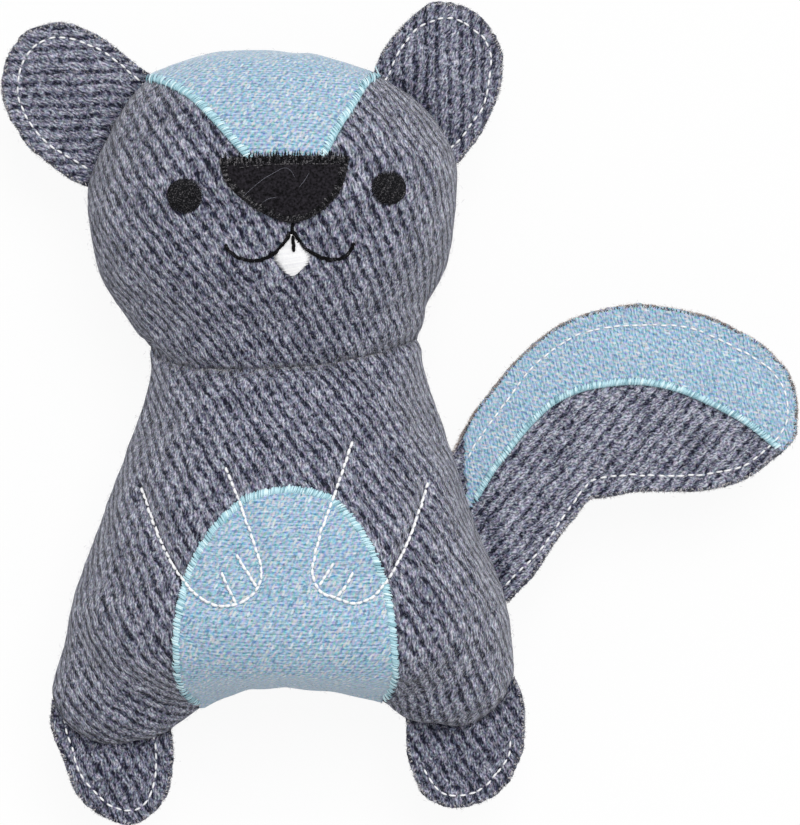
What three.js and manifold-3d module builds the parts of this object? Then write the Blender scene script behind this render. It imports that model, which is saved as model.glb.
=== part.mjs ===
// A stuffed cloth dog toy in the shape of a small bushy-tailed animal, lying on its back.
// X runs across the toy, Y from its feet to its head, Z out of its belly. Sizes are in millimetres.
// The origin is on the surface that the toy lies on, in the middle of the flat of its back.
import * as THREE from "three";
import { mergeVertices } from "three/addons/utils/BufferGeometryUtils.js";
import Module from "manifold-3d";

const wasm = await Module();
wasm.setup();

// Driving dimensions: the stuffed forms
const seamHeight = 30; // the side seam above the surface that the toy lies on
const restDepth = 0.5; // how deep the back is pressed flat
const backDepth = seamHeight + restDepth;
const bodyLength = 105; // neck seam to bottom seam
const bodyHalfWidth = 67;
const bellyDepth = 45; // seam to the top of the belly
const crotchRise = 7; // the bottom seam arches up between the legs
const crotchHalfWidth = 36;
const headHeight = 91.5; // neck seam to crown
const headHalfWidth = 56;
const faceDepth = 40; // seam to the front of the face
const neckHalfWidth = 40.6; // head and body are drawn to one size at the neck seam
const neckFront = 25;
const neckBack = 22.6;
const neckOffset = -0.9;
const legLength = 40;
const legHalfWidth = 19.3;
const legDepth = 20;
const legSpacing = 108; // between the middles of the two soles
const legOffset = -0.6;
const soleDrop = 40; // soles below the middle of the back's flat

// Driving angles
const headTilt = 3; // the head is sewn on turned a little to the toy's right
const neckLean = 13; // the neck seam runs lower in front than behind
const legSplay = 14;

// Driving dimensions: cloth, patches and clearances
const clothWall = 1.6; // woollen cloth with its fused backing
const feltWall = 1; // patches, nose felt and embroidery
const flapPly = 1.5; // one of the two cloths of an ear, foot or tail
const pieceGap = 0.3;
const flapRounding = 1; // how far a flap's edge is rounded off
const cutReach = 400; // overrun of every cutting block
const bandSetback = 3.6; // the tail's band stops short of its root
const blazeSetback = 3; // the forehead patch starts above the side seam

// Driving dimensions: face
const faceOffset = 2.8;
const eyeSpacing = 61;
const eyeHeight = 48.5;
const eyeRadius = 5.2;
const noseHalfWidth = 19.2;
const noseHeight = 21.3;
const noseBottom = 39;
const toothHalfWidth = 4.9;
const toothHalfHeight = 5.8;
const toothHeight = 29.3;
const blazeHalfWidth = 34;
const blazeHeight = 25;

// Driving dimensions: belly patch
const bellyPatchHalfWidth = 34.2;
const bellyPatchHeight = 66;
const bellyPatchOffset = -0.9;
const bellyPatchTop = 34.8; // above the middle of the back's flat

// Driving dimensions: ears, feet and tail
const earLength = 40;
const earTopLeft = 84.4; // heights of an ear's root on the head, above the neck seam
const earLowLeft = 53.5;
const earTopRight = 80.5;
const earLowRight = 54.5;
const footLength = 30;
const footRootHeight = 3.3; // how far up the leg's sides a foot is sewn in
const tailLength = 95;
const tailRise = 66;
const tailRootTop = 45;
const tailRootLow = 0;

// Driving dimensions: squeaker
const bulbRadius = 20;
const bulbFold = 3; // depth of the folds in the bulb's wall
const bulbFoldHeight = 3;
const bulbWall = 0.9;
const crownRise = 8;
const crownRim = 1.8;
const bulbDrop = 9; // base of the bulb below the side seam
const squeakerPlace = 12; // above the middle of the back's flat
const plugRadius = 4;
const plugFlangeRadius = 6.5;
const plugFlange = 1.4;
const plugLength = 9;
const plugBore = 2.2;
const reedWidth = 3.7;
const reedThickness = 0.3;
const reedInset = 0.8;

// Outlines of the stuffed forms: rows of shares of length, of half width (middle line, half width)
// and of the depth in front of the seam and behind it. The last row closes the form.
const headRowShares = [
  [-0.1, 0, 0.75, 0.66, 0.78],
  [0, 0, 0.725, 0.62, 0.74],
  [0.12, -0.022, 0.785, 0.74, 0.82],
  [0.27, -0.032, 0.925, 0.89, 0.94],
  [0.46, -0.032, 0.993, 0.99, 1],
  [0.62, -0.024, 0.958, 0.99, 1],
  [0.78, -0.06, 0.8, 0.84, 0.86],
  [0.9, -0.1, 0.63, 0.6, 0.62],
  [0.97, -0.13, 0.37, 0.33, 0.34],
  [1, -0.14, 0, 0, 0],
];
const bodyRowShares = [
  [-0.1, -0.012, 0.605, 0.56, 0.76],
  [0, -0.012, 0.606, 0.56, 0.74],
  [0.1, -0.004, 0.636, 0.62, 0.78],
  [0.25, -0.004, 0.715, 0.75, 0.87],
  [0.4, 0, 0.8, 0.87, 0.95],
  [0.55, 0, 0.89, 0.96, 1],
  [0.7, 0.004, 0.975, 1, 1],
  [0.8, 0, 0.997, 0.99, 0.96],
  [0.88, -0.01, 0.985, 0.9, 0.85],
  [0.94, -0.01, 0.93, 0.7, 0.62],
  [0.98, 0, 0.74, 0.4, 0.36],
  [1, 0, 0, 0, 0],
];
const legRowShares = [
  [0, 0, 0, 0, 0],
  [0.02, 0, 0.6, 0.16, 0.16],
  [0.06, 0, 0.87, 0.34, 0.34],
  [0.15, 0, 0.99, 0.62, 0.62],
  [0.32, 0, 1, 0.88, 0.88],
  [0.55, 0, 0.96, 1, 1],
  [0.8, 0, 0.8, 0.9, 0.9],
  [0.95, 0, 0.45, 0.5, 0.5],
  [1, 0, 0, 0, 0],
];
const restPlaceShare = 0.705; // how far down the body its back lies flat
const neckFadeShare = 0.45; // the neck's own size fades out this far along the head and the body
const archPlaceShare = 0.68; // the arch of the bottom seam fades out this far up the body
const slimShare = 0.1; // a shrunken ring keeps at least this much of its size

// Free edges of the flaps, from the lower end of the root to the upper: shares of the flap's length
// outwards, and along the root of half the root, or on the tail of its rise.
const leftEarShares = [
  [0.14, 1.05], [0.33, 1], [0.51, 0.91], [0.75, 0.62], [0.93, 0.17], [0.985, -0.3],
  [0.95, -0.8], [0.75, -1.21], [0.54, -1.3], [0.32, -1.27], [0.14, -1.18],
];
const rightEarShares = [
  [0.12, 1.02], [0.28, 0.92], [0.49, 0.73], [0.62, 0.55], [0.77, 0.18], [0.865, -0.35],
  [0.85, -0.83], [0.78, -1.17], [0.66, -1.44], [0.44, -1.5], [0.27, -1.46], [0.12, -1.33],
];
const leftFootShares = [
  [0.14, 1.1], [0.4, 1.19], [0.56, 1.19], [0.73, 1.09], [0.9, 0.78], [0.94, 0.37],
  [0.887, 0.04], [0.777, -0.27], [0.65, -0.45], [0.515, -0.58], [0.34, -0.82], [0.16, -1],
];
const rightFootShares = [
  [0.15, 1.06], [0.42, 1.06], [0.59, 0.98], [0.73, 0.76], [0.785, 0.45], [0.785, 0.09],
  [0.76, -0.19], [0.65, -0.47], [0.52, -0.65], [0.34, -0.86], [0.16, -0.98],
];
const tailEdgeShares = [
  [0.045, 0.33], [0.12, 0.284], [0.21, 0.187], [0.287, 0.122], [0.38, 0.08], [0.51, 0.11],
  [0.685, 0.2], [0.82, 0.229], [0.923, 0.2], [1.014, 0.14], [1.069, 0], [1.08, -0.14],
  [1.034, -0.31], [0.974, -0.416], [0.894, -0.533], [0.786, -0.63], [0.657, -0.706],
  [0.535, -0.73], [0.426, -0.715], [0.29, -0.644], [0.182, -0.557], [0.089, -0.47],
];
const tailBandEdgeShares = [
  [1.053, 0.308], [0.965, 0.143], [0.909, -0.004], [0.839, -0.125], [0.741, -0.262],
  [0.632, -0.36], [0.511, -0.411], [0.431, -0.426], [0.343, -0.411], [0.243, -0.354],
  [0.156, -0.28], [0.09, -0.218], [-0.018, -0.095],
];
const tailBandCornerShares = [[0.08, -1.13], [1.3, -0.47]];

// Outlines of the patches, as shares of their half width and height
const noseShares = [
  [0.055, 0], [0.42, 0.1], [0.713, 0.3], [0.884, 0.545], [0.966, 0.88], [0.6, 0.965], [0.08, 1],
  [-0.5, 0.99], [-1, 0.965], [-0.907, 0.685], [-0.658, 0.39], [-0.357, 0.18],
];
const toothShares = [
  [0.05, 1], [0.6, 0.45], [1.06, -0.12], [0.6, -0.65], [0.05, -1], [-0.45, -0.6], [-0.87, 0],
  [-0.42, 0.5],
];
const blazeRightShares = [
  [0.96, 0.95], [0.82, 0.744], [0.694, 0.489], [0.58, 0.281], [0.454, 0.01],
];
const blazeLeftShares = [
  [-0.242, 0.01], [-0.39, 0.3], [-0.557, 0.578], [-0.725, 0.806], [-0.94, 0.966], [-1.07, 1.05],
];
const blazeCrownShare = 1.8; // the forehead patch runs over the crown to the seam
const bellyPatchShares = [
  [0.08, 1], [0.386, 0.964], [0.605, 0.882], [0.78, 0.745], [0.91, 0.609], [0.98, 0.473], [1, 0.29],
  [1, 0.155], [0.93, 0.05], [0.85, -0.05], [0.8, -0.15], [-0.75, -0.15], [-0.8, -0.03],
  [-0.93, 0.07], [-0.99, 0.18], [-1, 0.336], [-0.947, 0.518], [-0.842, 0.655], [-0.667, 0.814],
  [-0.404, 0.941], [-0.184, 0.986],
];

// Facets
const headRings = 18;
const bodyRings = 22;
const legRings = 12;
const bodySides = 24;
const legSides = 16;
const rootSteps = 10;
const footRootSteps = 4;
const edgeSteps = 26;
const tailEdgeSteps = 56;
const bandEdgeSteps = 26;
const patchSteps = 28;
const bellyPatchSteps = 40;
const roundSteps = 24;
const plugSteps = 16;
const roundingSteps = 2;
const slopeStepShare = 0.002;
const searchSteps = 30;

// Cloth, felt, thread, plastic and filling
const cloth = { roughness: 0.95, metalness: 0 };
const greyWool = () => new THREE.MeshStandardMaterial({ color: 0x72737f, ...cloth });
const blueTweed = () => new THREE.MeshStandardMaterial({ color: 0xa9c0d2, ...cloth });
const blackFelt = () => new THREE.MeshStandardMaterial({ color: 0x232126, ...cloth });
const whiteFelt = () => new THREE.MeshStandardMaterial({ color: 0xf2f2f3, ...cloth });
const fibreFill = () => new THREE.MeshStandardMaterial({ color: 0xeeeeea, ...cloth });
const plastic = { roughness: 0.4, metalness: 0 };
const softPlastic = () => new THREE.MeshStandardMaterial({ color: 0xe6e2d4, ...plastic });
const reedPlastic = () => new THREE.MeshStandardMaterial({ color: 0xd9a441, ...plastic });

// A closed geometry as a solid that can be joined and cut
function solidFrom(geometry) {
  const bare = geometry.clone();
  bare.deleteAttribute("normal");
  bare.deleteAttribute("uv");
  const merged = mergeVertices(bare);
  const vertProperties = new Float32Array(merged.attributes.position.array);
  const triVerts = new Uint32Array(merged.index.array);
  return new wasm.Manifold(new wasm.Mesh({ numProp: 3, vertProperties, triVerts }));
}

function geometryFrom(solid) {
  const mesh = solid.getMesh();
  const geometry = new THREE.BufferGeometry();
  geometry.setAttribute("position", new THREE.BufferAttribute(new Float32Array(mesh.vertProperties), 3));
  geometry.setIndex(new THREE.BufferAttribute(new Uint32Array(mesh.triVerts), 1));
  const flat = geometry.toNonIndexed();
  flat.computeVertexNormals();
  return flat;
}

function meshOf(name, solid, material) {
  const mesh = new THREE.Mesh(geometryFrom(solid), material);
  mesh.name = name;
  return mesh;
}

// A cutting block on the side of a plane that direction points to, starting off from the origin
function halfSpace(direction, off, frame = new THREE.Matrix4()) {
  const block = new THREE.BoxGeometry(cutReach, cutReach, cutReach);
  block.translate(...direction.clone().multiplyScalar(cutReach / 2 + off).toArray());
  block.applyMatrix4(frame);
  return solidFrom(block);
}

// One row of a table of shares at a place from 0 to 1 along it, on a smooth curve through its rows
function rowAt(rows, place) {
  const span = Math.min(Math.max(place, 0), 1) * (rows.length - 1);
  const from = Math.min(Math.floor(span), rows.length - 2);
  const step = span - from;
  const before = rows[Math.max(from - 1, 0)];
  const after = rows[Math.min(from + 2, rows.length - 1)];
  return rows[from].map((share, column) => {
    const next = rows[from + 1][column];
    const slopeIn = (next - before[column]) / 2;
    const slopeOut = (after[column] - share) / 2;
    const turn = 2 * (share - next) + slopeIn + slopeOut;
    const bow = 3 * (next - share) - 2 * slopeIn - slopeOut;
    return ((turn * step + bow) * step + slopeIn) * step + share;
  });
}

// A stuffed form: a row of ovals along Y about the side seam, swelling and tapering
const headForm = {
  rows: headRowShares, rings: headRings, sides: bodySides, start: 0, length: headHeight,
  halfWidth: headHalfWidth, front: faceDepth, back: backDepth, neck: true,
};
const bodyForm = {
  rows: bodyRowShares, rings: bodyRings, sides: bodySides,
  start: bodyLength * restPlaceShare, length: -bodyLength,
  halfWidth: bodyHalfWidth, front: bellyDepth, back: backDepth, neck: true,
  arch: crotchRise, archHalfWidth: crotchHalfWidth,
};
const legForm = {
  rows: legRowShares, rings: legRings, sides: legSides, start: 0, length: legLength,
  halfWidth: legHalfWidth, front: legDepth, back: legDepth,
};

// How much of the neck's own size a form takes on at a place: all of it at the seam, in its second row
function neckPull(form, place) {
  if (!form.neck) return 0;
  const seamPlace = 1 / (form.rows.length - 1);
  const near = (neckFadeShare - place) / (neckFadeShare - seamPlace);
  return THREE.MathUtils.clamp(near, 0, 1) ** 2;
}

function ovalAt(form, place) {
  const [along, middle, half, front, back] = rowAt(form.rows, place);
  const pull = neckPull(form, place);
  const [, , neckHalfShare, neckFrontShare, neckBackShare] = form.rows[1];
  return {
    y: form.start + along * form.length,
    x: middle * form.halfWidth,
    half: half * form.halfWidth + pull * (neckHalfWidth - neckHalfShare * form.halfWidth),
    front: front * form.front + pull * (neckFront - neckFrontShare * form.front),
    back: back * form.back + pull * (neckBack - neckBackShare * form.back),
  };
}

// The oval at a place, pushed out from the form's skin by push, or in where push is negative
function pushedOval(form, place, push) {
  const oval = ovalAt(form, place);
  const behind = ovalAt(form, Math.max(place - slopeStepShare, 0));
  const ahead = ovalAt(form, Math.min(place + slopeStepShare, 1));
  const widening = (ahead.half + ahead.front + ahead.back - behind.half - behind.front - behind.back) / 3;
  const climb = ahead.y - behind.y;
  const slope = Math.hypot(widening, climb);
  const outward = (Math.abs(climb) / slope) * push;
  const onward = (-widening * Math.sign(climb) / slope) * push;
  const grown = (size) => Math.max(size + outward, size * slimShare);
  return {
    y: oval.y + onward,
    x: oval.x,
    half: grown(oval.half),
    front: grown(oval.front),
    back: grown(oval.back),
  };
}

// How far the closing seam of an arched form is drawn up at a distance across from its middle
function archAt(form, place, across) {
  if (!form.arch) return 0;
  const near = Math.max((place - archPlaceShare) / (1 - archPlaceShare), 0);
  return form.arch * near ** 2 * Math.max(1 - (across / form.archHalfWidth) ** 2, 0);
}

function endPoint(form, place, push) {
  const oval = ovalAt(form, place);
  const away = (place === 0 ? -1 : 1) * Math.sign(form.length);
  return new THREE.Vector3(oval.x, oval.y + away * push + archAt(form, place, oval.x), seamHeight);
}

function stuffedSolid(form, push) {
  const positions = [];
  const index = [];
  const opens = form.rows[0][2] === 0 ? 1 : 0;
  const closes = form.rings - 1;
  for (let ring = opens; ring <= closes; ring += 1) {
    const oval = pushedOval(form, ring / form.rings, push);
    for (let side = 0; side < form.sides; side += 1) {
      const turn = (side / form.sides) * 2 * Math.PI;
      const rise = Math.sin(turn) * (Math.sin(turn) > 0 ? oval.front : oval.back);
      const across = oval.x + Math.cos(turn) * oval.half;
      positions.push(across, oval.y + archAt(form, ring / form.rings, across), seamHeight + rise);
    }
  }
  const rings = closes - opens + 1;
  const corner = (ring, side) => ring * form.sides + (side % form.sides);
  for (let ring = 0; ring < rings - 1; ring += 1) {
    for (let side = 0; side < form.sides; side += 1) {
      index.push(corner(ring, side), corner(ring + 1, side), corner(ring + 1, side + 1));
      index.push(corner(ring, side), corner(ring + 1, side + 1), corner(ring, side + 1));
    }
  }
  const startTip = positions.length / 3;
  const startPoint = opens ? endPoint(form, 0, push) : endPoint(form, 0, 0);
  const closePoint = endPoint(form, 1, push);
  if (!opens) startPoint.y = positions[1];
  positions.push(startPoint.x, startPoint.y, startPoint.z, closePoint.x, closePoint.y, closePoint.z);
  for (let side = 0; side < form.sides; side += 1) {
    index.push(startTip, corner(0, side), corner(0, side + 1));
    index.push(startTip + 1, corner(rings - 1, side + 1), corner(rings - 1, side));
  }
  if (form.length < 0) index.reverse();
  const geometry = new THREE.BufferGeometry();
  geometry.setAttribute("position", new THREE.Float32BufferAttribute(positions, 3));
  geometry.setIndex(index);
  return solidFrom(geometry);
}

// The place along a form whose oval stands at height y
function placeAt(form, y) {
  let low = 0;
  let high = 1;
  for (let step = 0; step < searchSteps; step += 1) {
    const middle = (low + high) / 2;
    const short = (y - ovalAt(form, middle).y) * Math.sign(form.length) > 0;
    if (short) low = middle;
    else high = middle;
  }
  return (low + high) / 2;
}

// Points along a form's side seam from place to place. Side is 1 towards +X and -1 towards -X.
function seamPoints(form, fromPlace, toPlace, side, push, steps = rootSteps) {
  return Array.from({ length: steps + 1 }, (_, step) => {
    const place = THREE.MathUtils.lerp(fromPlace, toPlace, step / steps);
    const oval = pushedOval(form, place, push);
    return new THREE.Vector2(oval.x + side * oval.half, oval.y);
  });
}

// The frame of a flap: at the middle of its root, X outwards from the seam, Y along the root
function rootFrame(root, side) {
  const start = root[0];
  const end = root[root.length - 1];
  const middle = start.clone().add(end).multiplyScalar(1 / 2);
  const along = end.clone().sub(start);
  const outwards = new THREE.Vector2(-along.y * side, along.x * side).normalize();
  return { middle, angle: outwards.angle(), halfRoot: along.length() / 2, side };
}

// Points given as shares of a length outwards and of a rise along the root, in a flap's own frame
function flapPoints(shares, frame, length, rise) {
  return shares.map(([out, along]) => new THREE.Vector2(out * length, -frame.side * along * rise));
}

// A flap's outline in its own frame: the root follows the seam, the free edge is a smooth curve
function flapOutline(root, frame, edge, steps) {
  const seam = root.map((point) => point.clone().sub(frame.middle));
  seam.forEach((point) => point.rotateAround(new THREE.Vector2(), -frame.angle));
  const freeEdge = new THREE.SplineCurve([seam[seam.length - 1], ...edge, seam[0]]);
  return [...seam, ...freeEdge.getSpacedPoints(steps).slice(1, -1)];
}

// Two cloths sewn together at their rounded edge, with a thin gap between them
function flapPlies(outline) {
  const halfThickness = flapPly + pieceGap / 2;
  const geometry = new THREE.ExtrudeGeometry(new THREE.Shape(outline), {
    depth: (halfThickness - flapRounding) * 2,
    bevelThickness: flapRounding,
    bevelSize: flapRounding,
    bevelOffset: -flapRounding,
    bevelSegments: roundingSteps,
  });
  geometry.translate(0, 0, flapRounding - halfThickness);
  const flap = solidFrom(geometry);
  const up = new THREE.Vector3(0, 0, 1);
  const down = new THREE.Vector3(0, 0, -1);
  return {
    front: flap.intersect(halfSpace(up, pieceGap / 2)),
    back: flap.intersect(halfSpace(down, pieceGap / 2)),
  };
}

function flapGroup(name, outline, frame) {
  const plies = flapPlies(outline);
  const group = new THREE.Group();
  group.position.set(frame.middle.x, frame.middle.y, seamHeight);
  group.rotation.z = frame.angle;
  group.add(meshOf(`${name}_front`, plies.front, greyWool()));
  group.add(meshOf(`${name}_back`, plies.back, greyWool()));
  return group;
}

// A smooth closed outline through a table of shares
function closedOutline(shares, halfWidth, height, steps) {
  const points = shares.map(([x, y]) => new THREE.Vector3(x * halfWidth, y * height, 0));
  return new THREE.CatmullRomCurve3(points, true, "centripetal").getPoints(steps).slice(0, -1);
}

// A block over an outline, from the seam up past the top of the forms
function columnOver(points, middle, bottom) {
  const outline = points.map((point) => new THREE.Vector2(point.x + middle, point.y + bottom));
  const solid = { depth: cutReach / 2, bevelEnabled: false };
  const column = new THREE.ExtrudeGeometry(new THREE.Shape(outline), solid);
  column.translate(0, 0, seamHeight + pieceGap / 2);
  return solidFrom(column);
}

// Matter that lies on a form's skin like an appliqued patch
function patchMatter(form) {
  return stuffedSolid(form, pieceGap + feltWall).subtract(stuffedSolid(form, pieceGap));
}

const headPatchMatter = patchMatter(headForm);
const bodyPatchMatter = patchMatter(bodyForm);

// The neck seam: a plane that leans, through the middle of the neck at the height of the side seam
const neckHeight = bodyForm.start;
const neckPlane = new THREE.Matrix4()
  .makeTranslation(0, 0, seamHeight)
  .multiply(new THREE.Matrix4().makeRotationX(THREE.MathUtils.degToRad(neckLean)));
const headPlace = new THREE.Matrix4()
  .makeTranslation(neckOffset, neckHeight, 0)
  .multiply(new THREE.Matrix4().makeRotationZ(THREE.MathUtils.degToRad(headTilt)));
const neckInBody = headPlace.clone().multiply(neckPlane);
const frontward = new THREE.Vector3(0, 0, 1);
const backward = new THREE.Vector3(0, 0, -1);
const headward = new THREE.Vector3(0, 1, 0);
const footward = new THREE.Vector3(0, -1, 0);
const seamLift = new THREE.Matrix4().makeTranslation(0, 0, seamHeight);
const frontSide = halfSpace(frontward, pieceGap / 2, seamLift);
const backSide = halfSpace(backward, pieceGap / 2, seamLift);
const headSide = halfSpace(headward, pieceGap / 2, neckPlane);
const bodySide = halfSpace(footward, pieceGap / 2, neckInBody);
const aboveRest = halfSpace(frontward, 0);

// Skins: the front and back cloths of a form, open at the neck and sewn together along the side seam
function skins(form, neckSide) {
  const hollow = stuffedSolid(form, 0).subtract(stuffedSolid(form, -clothWall)).intersect(neckSide);
  return {
    front: hollow.intersect(frontSide),
    back: hollow.intersect(backSide).intersect(aboveRest),
  };
}

const fillDepth = -(clothWall + pieceGap);
const headSkins = skins(headForm, headSide);
const bodySkins = skins(bodyForm, bodySide);
const headFill = stuffedSolid(headForm, fillDepth).intersect(headSide);
const bodyFill = stuffedSolid(bodyForm, fillDepth).intersect(bodySide);

// Squeaker: a bulb of soft plastic with a folded wall, its crown, and a plug with a reed in the base
function ringSolid(profile, steps) {
  const points = profile.map(([radius, height]) => new THREE.Vector2(radius, height));
  const turned = new THREE.LatheGeometry(points, steps);
  turned.rotateX(Math.PI / 2);
  return solidFrom(turned);
}

const waistRadius = bulbRadius - bulbFold;
const plugHoleRadius = plugRadius + pieceGap;
const bulbHeight = 4 * bulbFoldHeight;
const bulbProfile = [
  [plugHoleRadius, 0],
  [waistRadius, 0],
  [bulbRadius, bulbFoldHeight],
  [waistRadius, 2 * bulbFoldHeight],
  [bulbRadius, 3 * bulbFoldHeight],
  [waistRadius, bulbHeight],
  [waistRadius - bulbWall, bulbHeight],
  [bulbRadius - bulbWall, 3 * bulbFoldHeight],
  [waistRadius - bulbWall, 2 * bulbFoldHeight],
  [bulbRadius - bulbWall, bulbFoldHeight],
  [waistRadius - bulbWall, bulbWall],
  [plugHoleRadius, bulbWall],
  [plugHoleRadius, 0],
];
const crownBase = bulbHeight + pieceGap;
const crownTop = crownBase + crownRim + crownRise;
const domeShares = [[0.97, 0.25], [0.88, 0.52], [0.7, 0.78], [0.4, 0.95]];
function domeLine(radius, bottom, rise) {
  return domeShares.map(([out, up]) => [out * radius, bottom + up * rise]);
}

const crownProfile = [
  [0, crownTop - bulbWall],
  ...domeLine(waistRadius - bulbWall, crownBase + crownRim, crownRise - bulbWall).reverse(),
  [waistRadius - bulbWall, crownBase],
  [waistRadius, crownBase],
  ...domeLine(waistRadius, crownBase + crownRim, crownRise),
  [0, crownTop],
];
const pocketProfile = [
  [0, -plugFlange - 2 * pieceGap],
  [plugFlangeRadius + pieceGap, -plugFlange - 2 * pieceGap],
  [plugFlangeRadius + pieceGap, -pieceGap],
  [waistRadius + pieceGap, -pieceGap],
  [bulbRadius + pieceGap, bulbFoldHeight],
  [bulbRadius + pieceGap, 3 * bulbFoldHeight],
  [waistRadius + pieceGap, bulbHeight + pieceGap],
  ...domeLine(waistRadius + pieceGap, crownBase + crownRim, crownRise + pieceGap),
  [0, crownTop + pieceGap],
];
const plugProfile = [
  [plugBore, -plugFlange - pieceGap],
  [plugFlangeRadius, -plugFlange - pieceGap],
  [plugFlangeRadius, -pieceGap],
  [plugRadius, -pieceGap],
  [plugRadius, plugLength],
  [plugBore, plugLength],
  [plugBore, -plugFlange - pieceGap],
];
const squeakerBase = new THREE.Vector3(0, squeakerPlace, seamHeight - bulbDrop);
const pocket = ringSolid(pocketProfile, roundSteps).translate(squeakerBase.toArray());

function squeaker() {
  const group = new THREE.Group();
  group.position.copy(squeakerBase);
  group.add(meshOf("squeaker_bulb", ringSolid(bulbProfile, roundSteps), softPlastic()));
  group.add(meshOf("squeaker_crown", ringSolid(crownProfile, roundSteps), softPlastic()));
  group.add(meshOf("squeaker_plug", ringSolid(plugProfile, plugSteps), softPlastic()));
  const reedLength = plugLength - reedInset;
  const reed = new THREE.Mesh(new THREE.BoxGeometry(reedWidth, reedThickness, reedLength), reedPlastic());
  reed.name = "squeaker_reed";
  reed.position.z = reedLength / 2;
  group.add(reed);
  return group;
}

// Legs: the stuffed lower corners of the body, each with a foot flap sewn into its bottom seam
function legFrame(side) {
  const turn = THREE.MathUtils.degToRad(legSplay) * side;
  const place = new THREE.Matrix4().makeTranslation(legOffset + (side * legSpacing) / 2, -soleDrop, 0);
  return place.multiply(new THREE.Matrix4().makeRotationZ(turn));
}

function legAt(side, push) {
  return stuffedSolid(legForm, push).transform(legFrame(side).toArray());
}

function leg(side) {
  return legAt(side, 0).subtract(stuffedSolid(bodyForm, pieceGap));
}

function foot(name, side, edgeShares) {
  const rootPlace = placeAt(legForm, footRootHeight);
  const inner = seamPoints(legForm, rootPlace, 0, -side, pieceGap, footRootSteps);
  const outer = seamPoints(legForm, 0, rootPlace, side, pieceGap, footRootSteps);
  const tip = endPoint(legForm, 0, pieceGap);
  const root = [...inner.slice(0, -1), new THREE.Vector2(tip.x, tip.y), ...outer.slice(1)].reverse();
  const frame = rootFrame(root, side);
  const group = new THREE.Group();
  group.applyMatrix4(legFrame(side));
  const edge = flapPoints(edgeShares, frame, footLength, frame.halfRoot);
  group.add(flapGroup(name, flapOutline(root, frame, edge, edgeSteps), frame));
  return group;
}

// Face and forehead
function eye(name, side) {
  const disc = new THREE.EllipseCurve(0, 0, eyeRadius, eyeRadius).getPoints(patchSteps).slice(0, -1);
  const column = columnOver(disc, faceOffset + (side * eyeSpacing) / 2, eyeHeight);
  return meshOf(name, headPatchMatter.intersect(column), blackFelt());
}

function nose() {
  const outline = closedOutline(noseShares, noseHalfWidth, noseHeight, patchSteps);
  const column = columnOver(outline, faceOffset, noseBottom);
  return meshOf("nose", headPatchMatter.intersect(column), blackFelt());
}

function tooth() {
  const outline = closedOutline(toothShares, toothHalfWidth, toothHalfHeight, patchSteps);
  const column = columnOver(outline, faceOffset, toothHeight);
  return meshOf("tooth", headPatchMatter.intersect(column), whiteFelt());
}

function blaze() {
  const place = ([x, y]) => new THREE.Vector2(x * blazeHalfWidth, y * blazeHeight);
  const top = blazeCrownShare * blazeHeight;
  const rightSide = new THREE.SplineCurve(blazeRightShares.map(place)).getPoints(patchSteps / 2);
  const leftSide = new THREE.SplineCurve(blazeLeftShares.map(place)).getPoints(patchSteps / 2);
  const over = [new THREE.Vector2(-blazeHalfWidth, top), new THREE.Vector2(blazeHalfWidth, top)];
  const column = columnOver([...rightSide, ...leftSide, ...over], 0, noseBottom + noseHeight + pieceGap);
  const raised = halfSpace(frontward, blazeSetback, seamLift);
  return meshOf("forehead_patch", headPatchMatter.intersect(column).intersect(raised), blueTweed());
}

function ear(name, side, edgeShares, top, low) {
  const root = seamPoints(headForm, placeAt(headForm, top), placeAt(headForm, low), side, pieceGap);
  const frame = rootFrame(root, side);
  const edge = flapPoints(edgeShares, frame, earLength, frame.halfRoot);
  return flapGroup(name, flapOutline(root, frame, edge, edgeSteps), frame);
}

function head() {
  const group = new THREE.Group();
  group.applyMatrix4(headPlace);
  group.add(meshOf("head_front", headSkins.front, greyWool()));
  group.add(meshOf("head_back", headSkins.back, greyWool()));
  group.add(meshOf("head_filling", headFill, fibreFill()));
  group.add(eye("left_eye", -1), eye("right_eye", 1), nose(), tooth(), blaze());
  group.add(ear("left_ear", -1, leftEarShares, earTopLeft, earLowLeft));
  group.add(ear("right_ear", 1, rightEarShares, earTopRight, earLowRight));
  return group;
}

// Tail: a flat flap in the right side seam, with a band of lighter cloth along its upper edge
function tail() {
  const top = placeAt(bodyForm, tailRootTop);
  const root = seamPoints(bodyForm, top, placeAt(bodyForm, tailRootLow), 1, pieceGap);
  const frame = rootFrame(root, 1);
  const edge = flapPoints(tailEdgeShares, frame, tailLength, tailRise);
  const outline = flapOutline(root, frame, edge, tailEdgeSteps);
  const group = flapGroup("tail", outline, frame);

  const bandEdge = new THREE.SplineCurve(flapPoints(tailBandEdgeShares, frame, tailLength, tailRise));
  const corners = flapPoints(tailBandCornerShares, frame, tailLength, tailRise);
  const bandArea = new THREE.Shape([...bandEdge.getPoints(bandEdgeSteps), ...corners]);
  const bandBottom = flapPly + pieceGap / 2 + pieceGap;
  const flat = { depth: feltWall, bevelEnabled: false };
  const bandBlock = new THREE.ExtrudeGeometry(bandArea, flat);
  const tailBlock = new THREE.ExtrudeGeometry(new THREE.Shape(outline), flat);
  bandBlock.translate(0, 0, bandBottom);
  tailBlock.translate(0, 0, bandBottom);
  group.updateMatrix();
  const inTail = group.matrix.clone().invert().toArray();
  const setback = stuffedSolid(bodyForm, bandSetback).transform(inTail);
  const band = solidFrom(bandBlock).intersect(solidFrom(tailBlock)).subtract(setback);
  group.add(meshOf("tail_band", band, blueTweed()));
  return group;
}

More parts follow.
